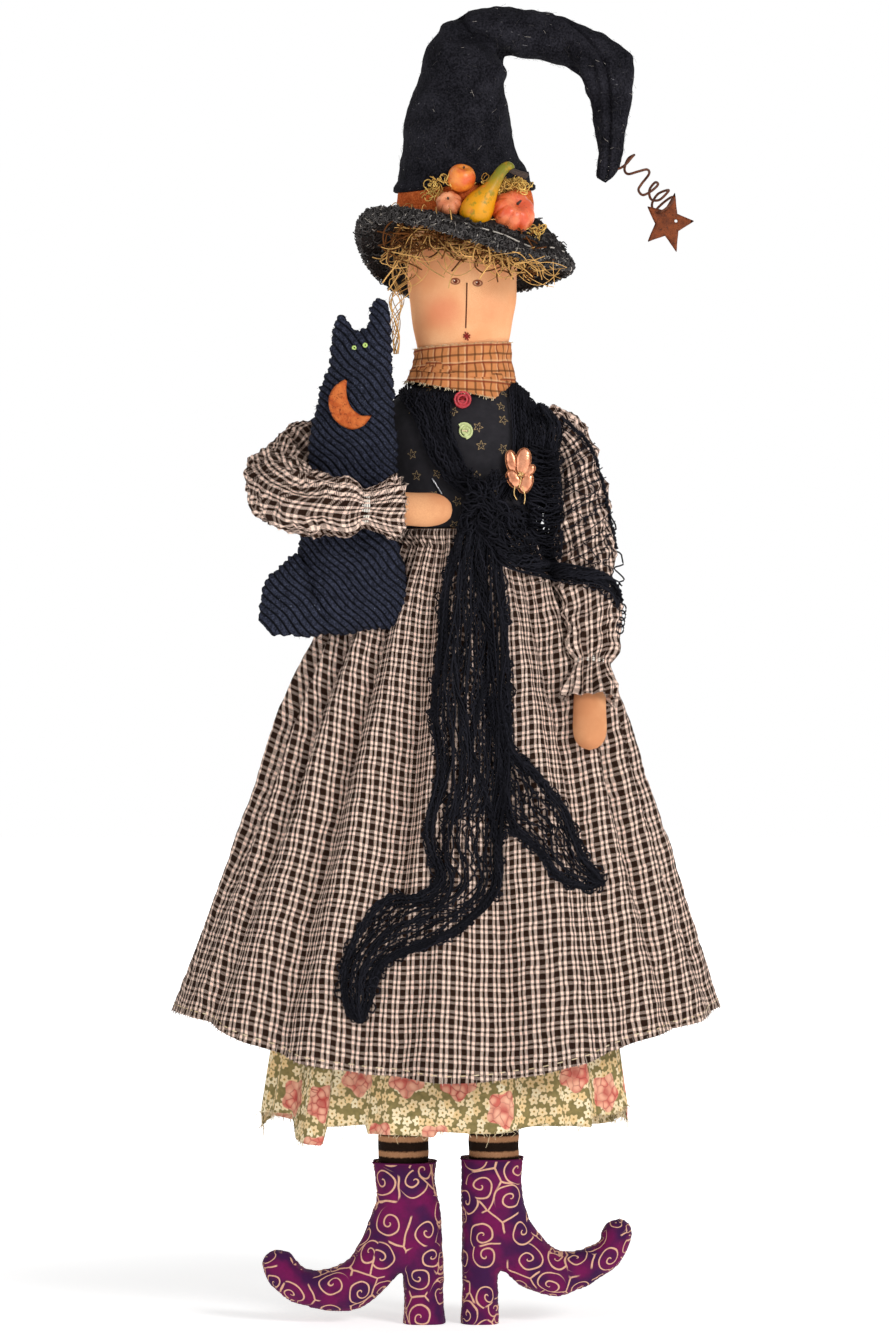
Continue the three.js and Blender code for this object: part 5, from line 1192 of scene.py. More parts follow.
# Each fruit: node, pixel, radius, ribs, depth of the ribs, material, way to its stem, height for its width,
# and the stem's length, radius at both ends, side bend, points and sides
FRUIT = [
    ("large_pumpkin", (512.5, 213), 14.6, 9, 0.16, PUMPKIN, (0.35, -0.75, 0.55), 0.82,
     (3.2, (1.0, 0.6), (1.2, 0, 0.4), 6, 8)),
    ("small_pumpkin", (449, 204), 8.6, 8, 0.2, DULL, (-0.1, -0.8, 0.5), 0.82,
     (1.6, (0.7, 0.7), (0, 0, 0), 4, 6)),
    ("round_fruit", (461.5, 178), 9.0, 6, 0.025, ORANGE, (0.2, -0.5, 0.8), 0.97,
     (1.5, (0.6, 0.6), (0, 0, 0), 4, 6)),
]
# The gourd and its stem: pixels and radius
GOURD_LINE = [
    (467.5, 224.5, 0.5), (468.5, 223, 5.2), (471, 219, 8.8), (475.5, 212, 10.4), (481, 203, 9.6),
    (487, 194, 7.0), (492, 186.5, 5.0), (497, 178, 4.0), (502, 170.5, 3.6), (508, 166.5, 3.3),
    (511.5, 169, 2.6), (512, 170, 0.4),
]
GOURD_STEM = [(509.5, 168.5, 2.0), (513, 171, 1.9), (519, 173.5, 1.8), (525, 175.5, 2.0), (527, 177, 1.6)]
# Tufts of moss: pixel, spread in pixels and number of curls
MOSS_TUFTS = [
    (500, 192, 8, 70), (518, 190, 5, 46), (490, 236, 6, 40), (524, 236, 9, 60), (437, 196, 6, 46),
    (470, 196, 9, 30), (452, 186, 6, 26),
]


def node_centre(node):
    low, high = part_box(node)
    return (np.array(low) + np.array(high)) / 2 / MM


def pumpkin(node, at, radius, ribs, deep, material, axis, tall):
    """A ribbed fruit at a pixel; axis points to its stem end, which is returned."""
    middle = at_photo(*at, node_centre(node)[1])
    theta = np.linspace(0.02, math.pi - 0.02, 44)[:, None]
    phi = np.linspace(0, TAU, 129)[None]
    groove = np.abs(np.cos(phi * ribs / 2)) ** 0.55
    across = np.sin(theta) ** 0.85 * (1 - deep * (1 - groove) * np.sin(theta) ** 0.4)
    along = tall * np.sign(np.cos(theta)) * np.abs(np.cos(theta)) ** 0.9
    along = along - 0.2 * np.exp(-((theta / 0.35) ** 2))
    axis = unit(np.array(axis, float))
    e1 = unit(np.cross(axis, [0.3, 1, 0.2]))
    e2 = np.cross(axis, e1)
    flat = (across * np.cos(phi))[..., None] * e1 + (across * np.sin(phi))[..., None] * e2
    rings = middle + radius * (flat + (along + 0 * phi)[..., None] * axis)
    place(skin(node, rings, material, caps=(True, True)), "head_body", "pumpkin_orange", node)
    return middle + radius * (tall - 0.2) * axis, axis


for node, at, radius, ribs, deep, material, way, tall, (long, ends, bend, count, sides) in FRUIT:
    tip, axis = pumpkin(node, at, radius, ribs, deep, material, way, tall)
    s = np.linspace(0, 1, count)
    stem = tip + np.outer(s, long * axis) + np.outer(s**2, bend)
    stem = strands(f"{node}_stem", [stem], [np.linspace(*ends, count)], STEM, sides)
    place(stem, "head_body", "gourd_stem")

gourd_y = node_centre("gourd")[1]
gourd_line = spline([(*at_photo(px, py, gourd_y), r) for px, py, r in GOURD_LINE], 90)
gourd = skin("gourd", tube_rings(gourd_line, 48, (0, 1, 0)), GOURD, caps=(True, True))
place(gourd, "head_body", "gourd_yellow", "gourd")
stem_line = spline([(*at_photo(px, py, gourd_y), r) for px, py, r in GOURD_STEM], 24)
stem_rings = tube_rings(stem_line, 16, (0, 1, 0), lambda t, a: 1 + 0.12 * np.cos(5 * a))
stem = skin("gourd_stem", stem_rings, STEM, caps=(True, True))
place(stem, "head_body", "gourd_stem", "gourd_stem")

moss = []
for px, py, spread, count in MOSS_TUFTS:
    for _ in range(count):
        q = at_photo(px + rng.normal(0, spread), py + rng.normal(0, spread * 0.7))
        hit = crown_tree.ray_cast(Vector((q[0], -300, q[2])), Vector((0, 1, 0)))[0]
        q[1] = (hit.y if hit else -30) - rng.uniform(1, 7)
        curl = rng.uniform(1.2, 3.2)
        e1 = unit(rng.normal(0, 1, 3))
        e2 = unit(np.cross(e1, rng.normal(0, 1, 3)))
        turn = np.linspace(0, rng.uniform(3, 9), 14)
        ring = q + curl * (np.outer(np.cos(turn), e1) + np.outer(np.sin(turn), e2))
        moss.append(ring + np.outer(turn * rng.uniform(-0.5, 0.5), np.cross(e1, e2)))
place(strands("moss", moss, 0.36, MOSS, 4), "head_body", "moss", "moss")


# Straw hair under the brim

# Pixels of the line under the brim's front edge that the straw follows, and of the line behind it where
# dark strands stand in for the brim's shadow as painted shade
FRINGE_PX = [384, 405, 445, 520, 560]
FRINGE_PY = [250, 243, 238, 256, 276]
SHADE_PY = [243, 239, 238, 254, 272]
# Straws that lie over the brim: turn about the hat, share of the brim where each starts, and its length
OVER_BRIM = [
    (2.0, 0.98, 0.5), (2.2, 1.0, 0.55), (1.85, 0.95, 0.35), (2.35, 0.98, 0.4), (1.7, 1.0, 0.45),
    (2.1, 1.02, 0.3),
]
# The lock beside the face: pixel, depth and half its width
LOCK = [
    (408, 258, -13, 9), (401, 283, -12, 8), (397, 302, -11, 5.5), (395, 322, -10, 3.5),
    (396, 340, -10, 2.6), (396, 354, -10, 1.6),
]


def head_ring(turn, z, grow):
    line = spline([(0, 0, *s) for s in HEAD], 120)
    w, d = (np.interp(z, line[:, 2], line[:, i]) + grow for i in (3, 4))
    return np.array([BODY_X + w * math.cos(turn), d * math.sin(turn), z])


def straw_strand(px, py, angle, long, y, bow, points=9):
    """A stiff stalk in front of the head, about a pixel, at an angle in the picture."""
    s = np.linspace(-0.5, 0.5, points)
    flat = np.array([px, py]) + np.outer(s * long, [math.cos(angle), -math.sin(angle)])
    flat += np.outer((0.25 - s**2) * bow, [math.sin(angle), math.cos(angle)])
    tilt = rng.normal(0, 0.12)
    return np.array([at_photo(u, v, y + tilt * long * k) for k, (u, v) in zip(s, flat)])


def straws(count, across, level, spread, lean, long, depth, bow):
    """Stalks spread over a width in pixels, about a level; lean and bow are drawn about their means."""
    out = []
    for _ in range(count):
        px = rng.uniform(*across)
        py = np.interp(px, *level) + rng.normal(0, spread)
        angle, size = rng.normal(*lean), rng.uniform(*long)
        out.append(straw_strand(px, py, angle, size, -rng.uniform(*depth), rng.normal(0, bow)))
    return out


straw = []
for _ in range(105):
    turn = rng.uniform(0, TAU)
    front = max(0.0, -math.sin(turn))
    top = rng.uniform(700, 712)
    reach = rng.uniform(8, 30) * (1 - 0.3 * front)
    lean = rng.normal(0, 0.5)
    out = rng.uniform(0, 10)
    curl = rng.normal(0, 6.0, 3) * [1, 0.5, 1]
    lift = 1.2 + 2.0 * rng.uniform(0, 1)
    s = np.linspace(0, 1, 9)
    line = [head_ring(turn + lean * t, top - reach * t**1.2, lift + out * t**1.6) for t in s]
    straw.append(np.array(line) + np.outer(np.sin(s * math.pi), curl) * [1, 0.4, 1])
straw += straws(92, (384, 540), (FRINGE_PX, FRINGE_PY), 10, (-0.15, 0.75), (16, 48), (30, 52), 26)
straw += straws(46, (430, 532), ([430, 532], [243, 267]), 6, (-0.7, 0.6), (14, 36), (36, 54), 16)
for _ in range(9):
    px, py = rng.uniform(385, 420), rng.uniform(245, 285)
    angle, size = rng.normal(1.1, 0.4), rng.uniform(20, 50)
    straw.append(straw_strand(px, py, angle, size, -rng.uniform(20, 46), rng.normal(0, 12)))
straw += straws(18, (500, 556), ([500, 556], [254, 272]), 4, (-0.4, 0.5), (12, 34), (50, 66), 10)
for turn, share, long in OVER_BRIM:
    s = np.linspace(0, 1, 12)
    line = [brim_point(np.array(turn + 0.06 * t), share - long * t, 5.2 + 2.5 * math.sin(3 * t)) for t in s]
    straw.append(np.array(line))
thick = [np.full(len(q), rng.uniform(0.18, 0.46)) for q in straw]
place(strands("hair_fringe", straw, thick, STRAW, 4), "head_body", "straw", "hair_fringe")
# Dark strands close under the brim that stand in for its shadow: painted shade
shade = straws(170, (388, 540), (FRINGE_PX, SHADE_PY), 8, (-0.15, 0.9), (14, 34), (36, 48), 18)
place(strands("hair_painted_shade", shade, 0.5, PAINTED_SHADE_STRAW, 4), "head_body", "straw")
lock = [(*at_photo(px, py, y), w, w) for px, py, y, w in LOCK]
place(strands("hair_lock", bunch(lock, 10, 24, 0.8, 1.6), 0.3, STRAW, 4), "head_body", "straw", "hair_lock")


# Rusty star on its spring

# The spring's curls: pixels and depth
SPRING = [
    (605, 172, 0), (611, 167.5, -1), (619, 168.5, -2), (626, 164, -4), (632, 157, -2), (634, 155, 2),
    (628, 159, 5), (624.5, 169, 3), (628, 174, -2), (638, 171.5, -5), (647, 169.5, -3), (649, 174, 2),
    (641.5, 184, 6), (638.5, 190, 3), (643, 195, -3), (652, 190.5, -6), (658, 184.5, -3),
    (655, 182.5, 3), (649.5, 190, 7), (651, 199, 5), (659, 200, -2), (667, 193, -6), (668, 190, 0),
    (658, 194, 7), (652, 204, 7), (655, 212, 0), (664, 210, -6), (672, 202, -5), (672, 197, 3),
    (663, 203, 8), (656, 211, 5), (660, 217, 1),
]
STAR_MIDDLE, STAR_HOLE = (668, 223), (676, 221)
STAR_TIPS = [(675, 192), (694.5, 221), (676.6, 252.5), (647.5, 242), (647, 206)]
STAR_DIP = 0.45 * 19

wire = spline([at_photo(*q) for q in SPRING], 340)
place(strands("star_spring", [wire], 0.85, WIRE, 10), "star_body", "rusty_tin", "star_spring")

star_y = node_centre("rusty_star")[1]
star_middle = at_photo(*STAR_MIDDLE, star_y)[[0, 2]]
tips = [at_photo(*q, star_y)[[0, 2]] for q in STAR_TIPS]
star_outline = []
for tip, after in zip(tips, tips[1:] + tips[:1]):
    dip = star_middle + STAR_DIP * unit((tip + after) / 2 - star_middle)
    star_outline.append(tip + 0.6 * unit(dip - tip))
    star_outline += [lerp(tip, dip, t) for t in np.linspace(0.1, 1, 8)]
    star_outline += [lerp(dip, after, t) for t in np.linspace(0.12, 0.95, 7)]


def plate(name, outline, y, half, material, hole):
    """A cut tin shape with softened edges, and a nail hole."""
    outline = np.array(outline)

    def swell(full):
        return np.minimum(0.6 * full**0.5, half)

    obj = pillow(name, outline, swell, material, y, 1.3, 0, smooth=False)
    nail = np.array([[hole[0], y - 6, hole[1]], [hole[0], y + 6, hole[1]]])
    cutter = strands("cutter", [nail], 1.0, material, 14)
    modified(obj, "BOOLEAN", object=cutter, operation="DIFFERENCE", solver="EXACT")
    bpy.data.objects.remove(cutter)
    return pushed(obj, lambda p, n: 0.1 * wobble(p, 6, 41))


star = plate("rusty_star", star_outline, star_y, 0.7, RUST, at_photo(*STAR_HOLE, star_y)[[0, 2]])
place(star, "star_body", "rusty_tin", "rusty_star")


# Arms in gathered sleeves

ARM_HALF = 9.5
# The hand: share of the way from the wrist to its tip, and half its width there
HAND = [(0, 9.6), (0.5, 10.6), (0.8, 10.4), (0.93, 7.6), (0.985, 3.6), (1, 0.4)]
# Half widths of the sleeve before the wrist, at it and along the frill
BEFORE_WRIST, NEAR_WRIST, AT_WRIST, FRILL_MIDDLE, FRILL_END = 18.5, 15.5, 12.2, 14.6, 18.5
SLEEVE_ROWS, SLEEVE_COLS, SLEEVE_FOLDS = 150, 240, 22
ELASTIC_HALF = 11.3
# Each arm: points down to the wrist, half widths of the sleeve at them, wrist, tip of the hand,
# share of the hand under the frill, and a way square to the arm
LEFT_ARM = (
    [(58, 0, 580), (77, -2, 564), (86, -9, 520), (91, -20, 480), (93, -30, 450)],
    [16, 20, 21.6, 20, 18.4], (93, -38, 427), (92, -54, 372), 0.42, (0, 1, 0),
)
RIGHT_ARM = (
    [(-36, 4, 576), (-84, 2, 566), (-106, -30, 546), (-96, -75, 532), (-74, -83, 527)],
    [16, 19.6, 20.8, 19.6, 19], (-52, -81, 526), (4, -60, 525), 0.38, (0, 0, 1),
)


def arm_piece(side, seed, path, halves, wrist, tip, frill_share, up):
    """An arm with its hand, sleeve, elastic and frayed edge; returns the sleeve."""
    body = f"{side}_arm_body"
    wrist, tip = np.array(wrist, float), np.array(tip, float)
    inner = [(*p, ARM_HALF) for p in path] + [(*lerp(wrist, tip, share), half) for share, half in HAND]
    arm = skin(f"{side}_arm", tube_rings(spline(inner, 120), 48, up), MUSLIN, caps=(True, True))
    pushed(arm, lambda p, n: 0.25 * wobble(p, 15, seed))
    place(arm, body, "muslin", f"{side}_arm")
    before = lerp(wrist, np.array(path[-1], float), 0.45)
    frill = lerp(wrist, tip, frill_share)
    outer = [(*p, half) for p, half in zip(path, halves)]
    outer += [(*before, BEFORE_WRIST), (*lerp(before, wrist, 0.6), NEAR_WRIST), (*wrist, AT_WRIST)]
    outer += [(*lerp(wrist, frill, 0.35), FRILL_MIDDLE), (*frill, FRILL_END)]
    line = spline(outer, SLEEVE_ROWS)
    wrist_row = np.linalg.norm(line[:, :3] - wrist, axis=1).argmin()
    at_wrist = wrist_row / (SLEEVE_ROWS - 1)

    def ripple(t, angle):
        wave = np.cos(SLEEVE_FOLDS * angle + 1.3 * np.sin(3 * angle + seed))
        near = np.exp(-(((t - at_wrist) / 0.12) ** 2))
        frilled = np.clip((t - at_wrist) * 9, 0, 1) * np.cos(0.6 * SLEEVE_FOLDS * angle + seed)
        top = np.exp(-((t / 0.1) ** 2))
        loose = 0.05 * np.sin(9 * t + 2 * angle + seed) + 0.04 * np.sin(17 * t - 3 * angle + 2 * seed)
        return 1 + 0.07 * near * wave + 0.12 * frilled + 0.05 * top * wave + loose * (1 - near)

    rings = tube_rings(line, SLEEVE_COLS, up, ripple)
    uv = cloth_uv(tube_rings(line, SLEEVE_COLS, up))
    uv[..., 1] = lerp(uv[..., 1], uv[..., 1].mean(1, keepdims=True), 0.6)
    free = np.clip(np.abs(np.linspace(0, 1, SLEEVE_ROWS) - at_wrist) * 9, 0.25, 1)[:, None]
    creases = 2.6 * crumple(rings, 24, seed + 60) + 1.2 * crumple(rings, 11, seed + 65) - 0.6
    rings = outwards(rings, free * creases, (1, 1, 1))
    sleeve = skin(f"{side}_sleeve", rings, CHECK, uv, thickness=0.8)
    place(sleeve, body, "check_cotton", f"{side}_sleeve")
    side_way, other = sides_of(line[:, :3], up)
    turn = np.linspace(0, TAU, 60)
    circle = np.outer(np.cos(turn), other[wrist_row]) + np.outer(np.sin(turn), side_way[wrist_row])
    loops = [line[wrist_row + shift, :3] + ELASTIC_HALF * circle for shift in (-2, -1, 0, 1)]
    elastic = strands(f"{side}_cuff_elastic", loops, 0.55, FIBRE, 5)
    place(elastic, body, "thread", f"{side}_cuff_elastic")
    edge = []
    for i in rng.integers(0, SLEEVE_COLS - 1, 120):
        drop = unit(rings[-1, i] - rings[-4, i]) * rng.uniform(0.4, 1.4)
        bend = rng.normal(0, 0.7, 3)
        edge.append(rings[-1, i] + np.outer([-0.2, 0.6, 1.2], drop) + np.outer([0, 0, 1], bend))
    place(strands(f"{side}_sleeve_fray", edge, 0.17, DARK_FRAY, 3), body, "check_cotton")
    return sleeve


left_sleeve = arm_piece("left", 1, *LEFT_ARM)
arm_piece("right", 2, *RIGHT_ARM)


# Corduroy cat in the crook of the arm

# Outlines in photograph pixels
CAT = [
    (379, 299), (385, 304), (388, 313), (390, 336), (391.5, 382), (394, 419), (397, 460), (398, 500),
    (398, 545), (405, 575), (411, 597), (408, 615), (396, 628), (370, 632), (330, 634), (295, 634),
    (285, 610), (290, 580), (300, 545), (305, 500), (309, 464), (310, 439), (316, 409), (325, 382),
    (331, 366), (333, 345), (334, 330), (338, 319), (342, 317), (347, 322), (355, 330), (362, 328),
    (367, 324), (369, 312), (372, 303),
]
CAT_TAIL = [
    (297, 552), (280, 568), (266, 583), (259.5, 600), (262, 620), (276, 633), (296, 636), (318, 632),
    (322, 610), (312, 590), (306, 565),
]
CAT_EYES = {"left": (354, 347), "right": (365, 344.6)}
MOON_OUTER = [(347.3, 378), (335, 386), (328.4, 401), (334, 419), (349, 429), (363, 426), (372, 415)]
MOON_INNER = [(372, 415), (361, 415), (351, 407), (346.5, 393), (347.3, 378)]
MOON_MIDDLE, MOON_HOLE = (348, 405), (349, 384)


def wales(p, n):
    """The cords of the cloth, slanting down to the right."""
    across = p[:, 0] * WALE_WAY[0] + p[:, 2] * WALE_WAY[1]
    across += 1.2 * np.sin(p[:, 2] / 17 + p[:, 0] / 23)
    across += 0.8 * np.sin(p[:, 2] / 6.1 - p[:, 0] / 9.3)
    cord = np.abs(np.cos(math.pi * across / WALE)) ** 0.75
    return 1.25 * cord + 0.7 * cord * wobble(p, 3.0, 53) + 1.1 * wobble(p, 24, 54)


def cat_piece(name, outline, fill, y):
    """A stuffed shape of corduroy."""
    piece = pillow(name, flat_pixels(outline, y), lambda full: fill * full**0.4, CORD, y, 2.4, 2)
    pushed(piece, wales)
    return place(piece, "right_arm_body", "corduroy", name)


def hoop(at, reach, half, counts):
    """Rings of a hoop that faces front: its reach from the middle, half its width and depth."""
    theta, phi = np.linspace(0, TAU, counts[0])[:, None], np.linspace(0, TAU, counts[1])[None]
    out = reach + half[0] * np.cos(theta)
    return at + np.stack([out * np.cos(phi), half[1] * np.sin(theta) + 0 * phi, out * np.sin(phi)], -1)


cat = cat_piece("cat_body", CAT, 1.36, CAT_Y)
cat_piece("cat_tail", CAT_TAIL, 1.15, CAT_Y - 15)
cat_tree = tree_of(cat)

fuzz = []
for i in rng.integers(0, len(cat.data.vertices), 2600):
    vertex = cat.data.vertices[i]
    foot, out = np.array(vertex.co) / MM, np.array(vertex.normal)
    lean = rng.normal(0, 0.7, 3)
    fuzz.append(foot + np.outer([-0.2, 0.5, 0.9], out) + np.outer([0, 0.4, 1.0], lean))
place(strands("cat_fuzz", fuzz, 0.09, NAVY_YARN, 3), "right_arm_body", "corduroy")

for side, pixel in CAT_EYES.items():
    at = laid(cat_tree, [at_photo(*pixel, CAT_Y - 20)], 0.6)[0]
    eye = skin(f"cat_eye_{side}", hoop(at, 1.0, (0.62, 0.7), (25, 33)), GLASS)
    place(eye, "right_arm_body", "green_glass", f"cat_eye_{side}")

moon_y = laid(cat_tree, [at_photo(*MOON_MIDDLE, CAT_Y - 25)], 3.4)[0, 1]
outer, inner = spline(flat_pixels(MOON_OUTER, moon_y), 40), spline(flat_pixels(MOON_INNER, moon_y), 34)
moon_outline = np.vstack([outer[:-1], inner[:-1]])
moon = plate("cat_moon", moon_outline, moon_y, 0.6, MOON, flat_pixels([MOON_HOLE], moon_y)[0])
place(moon, "right_arm_body", "rusty_tin", "cat_moon")


# Knitted shawl: yarns laid on the bodice, the left sleeve and the skirt's front

YARN = 0.55
NET_YARN = 0.36
# A depth in front of the doll's middle at which pixels are read before the yarns are laid on a surface
FRONT_Y = -36
SETTLE = [0.06, 0.14, 0.2, 0.2, 0.2, 0.14, 0.06]
front_tree = tree_of(bodice)


def joined_tree(*objects):
    verts, faces = [], []
    for obj in objects:
        base = len(verts)
        verts += [v.co / MM for v in obj.data.vertices]
        faces += [tuple(i + base for i in f.vertices) for f in obj.data.polygons]
    return BVHTree.FromPolygons(verts, faces)


dress_tree = joined_tree(bodice, skirt, left_sleeve)


def band_lines(left, right, count, points, wander, seed):
    """Lines in photograph pixels that run along between two edges."""
    r = np.random.default_rng(seed)
    a, b = spline(left, points), spline(right, points)
    s = np.linspace(0, 1, points)
    out = []
    for k in range(count):
        wave = wander * np.sin(TAU * r.uniform(0.8, 3.5) * s + r.uniform(0, TAU)) * r.uniform(0.2, 1)
        out.append(lerp(a, b, np.clip((k + 0.5) / count + wave, 0, 1)[:, None]))
    return out


def net_lines(left, right, across, repeats, points, seed, jitter=0.22):
    """Zigzag lines between two edges that meet their neighbours by turns, as the holes of an open knit."""
    r = np.random.default_rng(seed)
    a, b = spline(left, points), spline(right, points)
    s = np.linspace(0, 1, points)
    slip = s + 0.012 * np.sin(TAU * 5 * s + r.uniform(0, TAU))
    slip += 0.008 * np.sin(TAU * 11 * s + r.uniform(0, TAU))
    out = []
    for k in range(across):
        u = k + 0.5 + 0.47 * np.cos(math.pi * repeats * slip + math.pi * k)
        first = np.sin(TAU * r.uniform(2, 7) * s + r.uniform(0, TAU))
        second = np.sin(TAU * r.uniform(2, 7) * s + r.uniform(0, TAU))
        u = u + jitter * (first + second)
        out.append(lerp(a, b, np.clip(u / across, 0, 1)[:, None]))
    return out


def settled(depth):
    return np.convolve(np.pad(depth, len(SETTLE) // 2, "edge"), SETTLE, "valid")


def on_front(lines, tree, low, high, seed, wave=0.6):
    """Photograph lines laid on a surface from the front, between two heights above it."""
    r = np.random.default_rng(seed)
    out = []
    for line in lines:
        guess = np.array([at_photo(px, py, FRONT_Y) for px, py in line])
        height = r.uniform(low, high)
        lift = height + wave * np.sin(np.linspace(0, TAU * r.uniform(1, 3), len(line)) + r.uniform(0, TAU))
        placed = laid(tree, guess, np.maximum(lift, 0.7))
        placed[:, 1] = settled(placed[:, 1])
        out.append(knitted(placed))
    return out


def band(tree, edges, count, points, wander, low, high, seed):
    """Yarns along a band of the knit, laid on a surface."""
    return on_front(band_lines(*edges, count, points, wander, seed), tree, low, high, seed + 1)


def net(tree, edges, across, repeats, points, low, high, seed, jitter=0.22):
    """Yarns of an open net, laid on a surface."""
    return on_front(net_lines(*edges, across, repeats, points, seed, jitter), tree, low, high, seed + 1)


def rope(line, half, count, turns, tree, lift, points=200):
    """Yarns twisted together along a line of photograph pixels; half is the rope's radius along it."""
    s = np.linspace(0, 1, points)
    half = np.interp(s, np.linspace(0, 1, len(half)), half)
    centre = laid(tree, [at_photo(px, py, FRONT_Y) for px, py in spline(line, points)], half + lift)
    centre[:, 1] = settled(settled(centre[:, 1]))
    side, other = sides_of(centre, (0, 1, 0))
    out = []
    for k in range(count):
        turn = TAU * (k / count + turns * s) + 0.5 * np.sin(TAU * 3 * s + k)
        reach = half * (0.75 + 0.25 * np.sin(TAU * 4.3 * s + 2.1 * k)) * (0.55 if k % 3 == 0 else 1.0)
        across = (reach * np.cos(turn))[:, None] * other
        out.append(knitted(centre + across + (0.75 * reach * np.sin(turn))[:, None] * side))
    return out


# The wrap: two strips come over the shoulders from the back, where a net hangs between them.
# Their left and right edges are photograph pixels
STRIP = (
    [(399, 392), (407, 406), (416, 424), (428, 453), (443, 478), (470, 500)],
    [(450, 392), (451, 412), (452, 430), (459, 448), (470, 476), (486, 500)],
)
SIDE_STRIP = (
    [(510, 393), (512, 415), (513, 440), (510, 465), (494, 500)],
    [(530, 393), (531, 418), (532, 440), (534, 462), (526, 500)],
)
SHOULDER_TOP = 606.0
# The way over a shoulder from the back: depth, and height above the shoulder
OVER_SHOULDER = [(30, -34), (25, -14), (12, 2.6), (-4, 3.4), (-16, -1)]
BACK_TOP, BACK_LOW, BACK_ROWS, BACK_POINTS = 604, 540, 17, 120
BACK_SAG, BACK_OUT = 26, 4.2
torso_line = spline([(0, 0, *s) for s in TORSO], 240)


def over_shoulder(line):
    """A strip's yarn with its way over the shoulder added at its top."""
    x = line[0, 0]
    shoulder = torso_line[-100:]
    top = min(SHOULDER_TOP, np.interp(-abs(x - BODY_X), -shoulder[:, 3], shoulder[:, 2]))
    behind = [(x, y, top + above) for y, above in OVER_SHOULDER]
    kept = line[line[:, 2] < top - 5][::6]
    return knitted(spline(np.vstack([behind, kept]) + rng.normal(0, 0.2, 3), 60))


def back_line(z):
    """A row of the net on the back, which sags in the middle."""
    turn = np.linspace(0.06 * math.pi, 0.94 * math.pi, BACK_POINTS)
    level = z - BACK_SAG * np.sin(turn) ** 2
    w, d = (np.interp(level, torso_line[:, 2], torso_line[:, i]) + BACK_OUT for i in (3, 4))
    return np.stack([BODY_X + w * np.cos(turn), d * np.sin(turn), level], 1)


front = band(front_tree, STRIP, 52, 60, 0.06, 0.9, 4.2, 61)
front += band(front_tree, SIDE_STRIP, 28, 60, 0.06, 0.9, 3.6, 65)
wrap = [over_shoulder(line) for line in front]
wrap += net(front_tree, STRIP, 8, 9, 80, 2.5, 4.5, 63)
back_rows = np.array([back_line(z) for z in np.linspace(BACK_TOP, BACK_LOW, BACK_ROWS)])
for k, row in enumerate(back_rows[:-1]):
    step = 0.5 + 0.5 * np.cos(np.arange(BACK_POINTS) * math.pi / 4 + math.pi * k)
    wrap.append(row + (back_rows[k + 1] - row) * step[:, None] * 0.96)
for shift in np.linspace(-4, 4, 16):
    wave = np.sin(np.linspace(0, 40, BACK_POINTS) + shift)
    wrap.append(back_rows[-1] + [0, 0, shift] + np.outer(wave, [0, 0.6, 0.4]))
wrap_obj = strands("shawl_wrap", wrap, YARN, KNIT, 4)
place(wrap_obj, "torso_body", "black_knit", "shawl_wrap")

# The net over the arm: it leaves the strip, covers shoulder and sleeve, and ends in a thick border
NET_IN = [(526, 398), (527, 430), (524, 470), (510, 505), (500, 535), (505, 553)]
NET_OUT = [(562, 415), (588, 440), (602, 475), (610, 510), (618, 548), (626, 588)]
NET_BACK = [(480, 420), (482, 470), (486, 520), (490, 560)]
RUNG_HIGH = np.array([(528, 470), (564, 450), (594, 430)])
RUNG_LOW = np.array([(538, 584), (582, 562), (618, 536)])
SHOULDER_BAND = (
    [(524, 396), (531, 420), (536, 450), (522, 500)],
    [(554, 409), (562, 430), (556, 462), (540, 520)],
)
GAP_BAND = (
    [(528, 430), (534, 470), (530, 510), (516, 548)],
    [(556, 440), (561, 480), (563, 520), (561, 560)],
)
# Yarns across the gap beside the arm: pixel, rise along the yarn and depth
GAP_YARN = [(530, -2, -26), (541, 2, -24), (550, 3, -25), (560, 1, -30)]
GAP_TOP, GAP_LOW, GAP_COUNT = 446, 566, 70
BORDER = [(474, 500), (492, 532), (510, 556), (558, 570), (606, 580), (621, 600)]
BORDER_BAND = (
    [(474, 490), (492, 518), (512, 546), (560, 562), (606, 574), (622, 594)],
    [(470, 520), (488, 550), (508, 568), (556, 580), (606, 590), (618, 610)],
)
CORNER_NET = (
    [(488, 488), (500, 500), (516, 512), (544, 530)],
    [(482, 516), (502, 542), (530, 556), (556, 562)],
)
CORNER_BAND = (
    [(486, 488), (500, 498), (518, 506), (540, 520)],
    [(486, 524), (508, 548), (532, 558), (552, 560)],
)
# Loops along the border: number of a loop, and the pixel where it hangs
SCALLOPS = 16
SCALLOP_AT, SCALLOP_PX, SCALLOP_PY = [0, 6, 12, 15], [556, 600, 622, 619], [572, 582, 604, 624]

drape = net(dress_tree, (NET_IN, NET_OUT), 7, 15, 130, 1.2, 2.6, 67, 0.3)
rungs = [lerp(RUNG_HIGH, RUNG_LOW, k) + rng.normal(0, 2.5, (3, 2)) for k in np.linspace(0, 1, 13)]
drape += on_front([spline(line, 40) for line in rungs], dress_tree, 1.2, 2.6, 82)
fine = len(drape)
drape += rope(NET_OUT[:-1], [1.3, 1.1, 1.2, 1.4], 4, 9, dress_tree, 0.5)
drape += band(dress_tree, SHOULDER_BAND, 40, 50, 0.14, 1.0, 3.6, 69)
drape += band(dress_tree, GAP_BAND, 24, 50, 0.2, 1.0, 3.4, 78)
for py in np.linspace(GAP_TOP, GAP_LOW, GAP_COUNT):
    ends = np.array([at_photo(px, py + rise, depth) for px, rise, depth in GAP_YARN])
    drape.append(knitted(spline(ends + rng.normal(0, 1.1, (4, 3)), 24)))
drape += rope(BORDER, [5, 5.5, 5, 4.2, 3.6, 2.6], 22, 3.0, dress_tree, 1.0)
drape += band(dress_tree, BORDER_BAND, 20, 80, 0.2, 1.4, 5.4, 71)
drape += net(dress_tree, CORNER_NET, 12, 10, 60, 1.5, 4.0, 73)
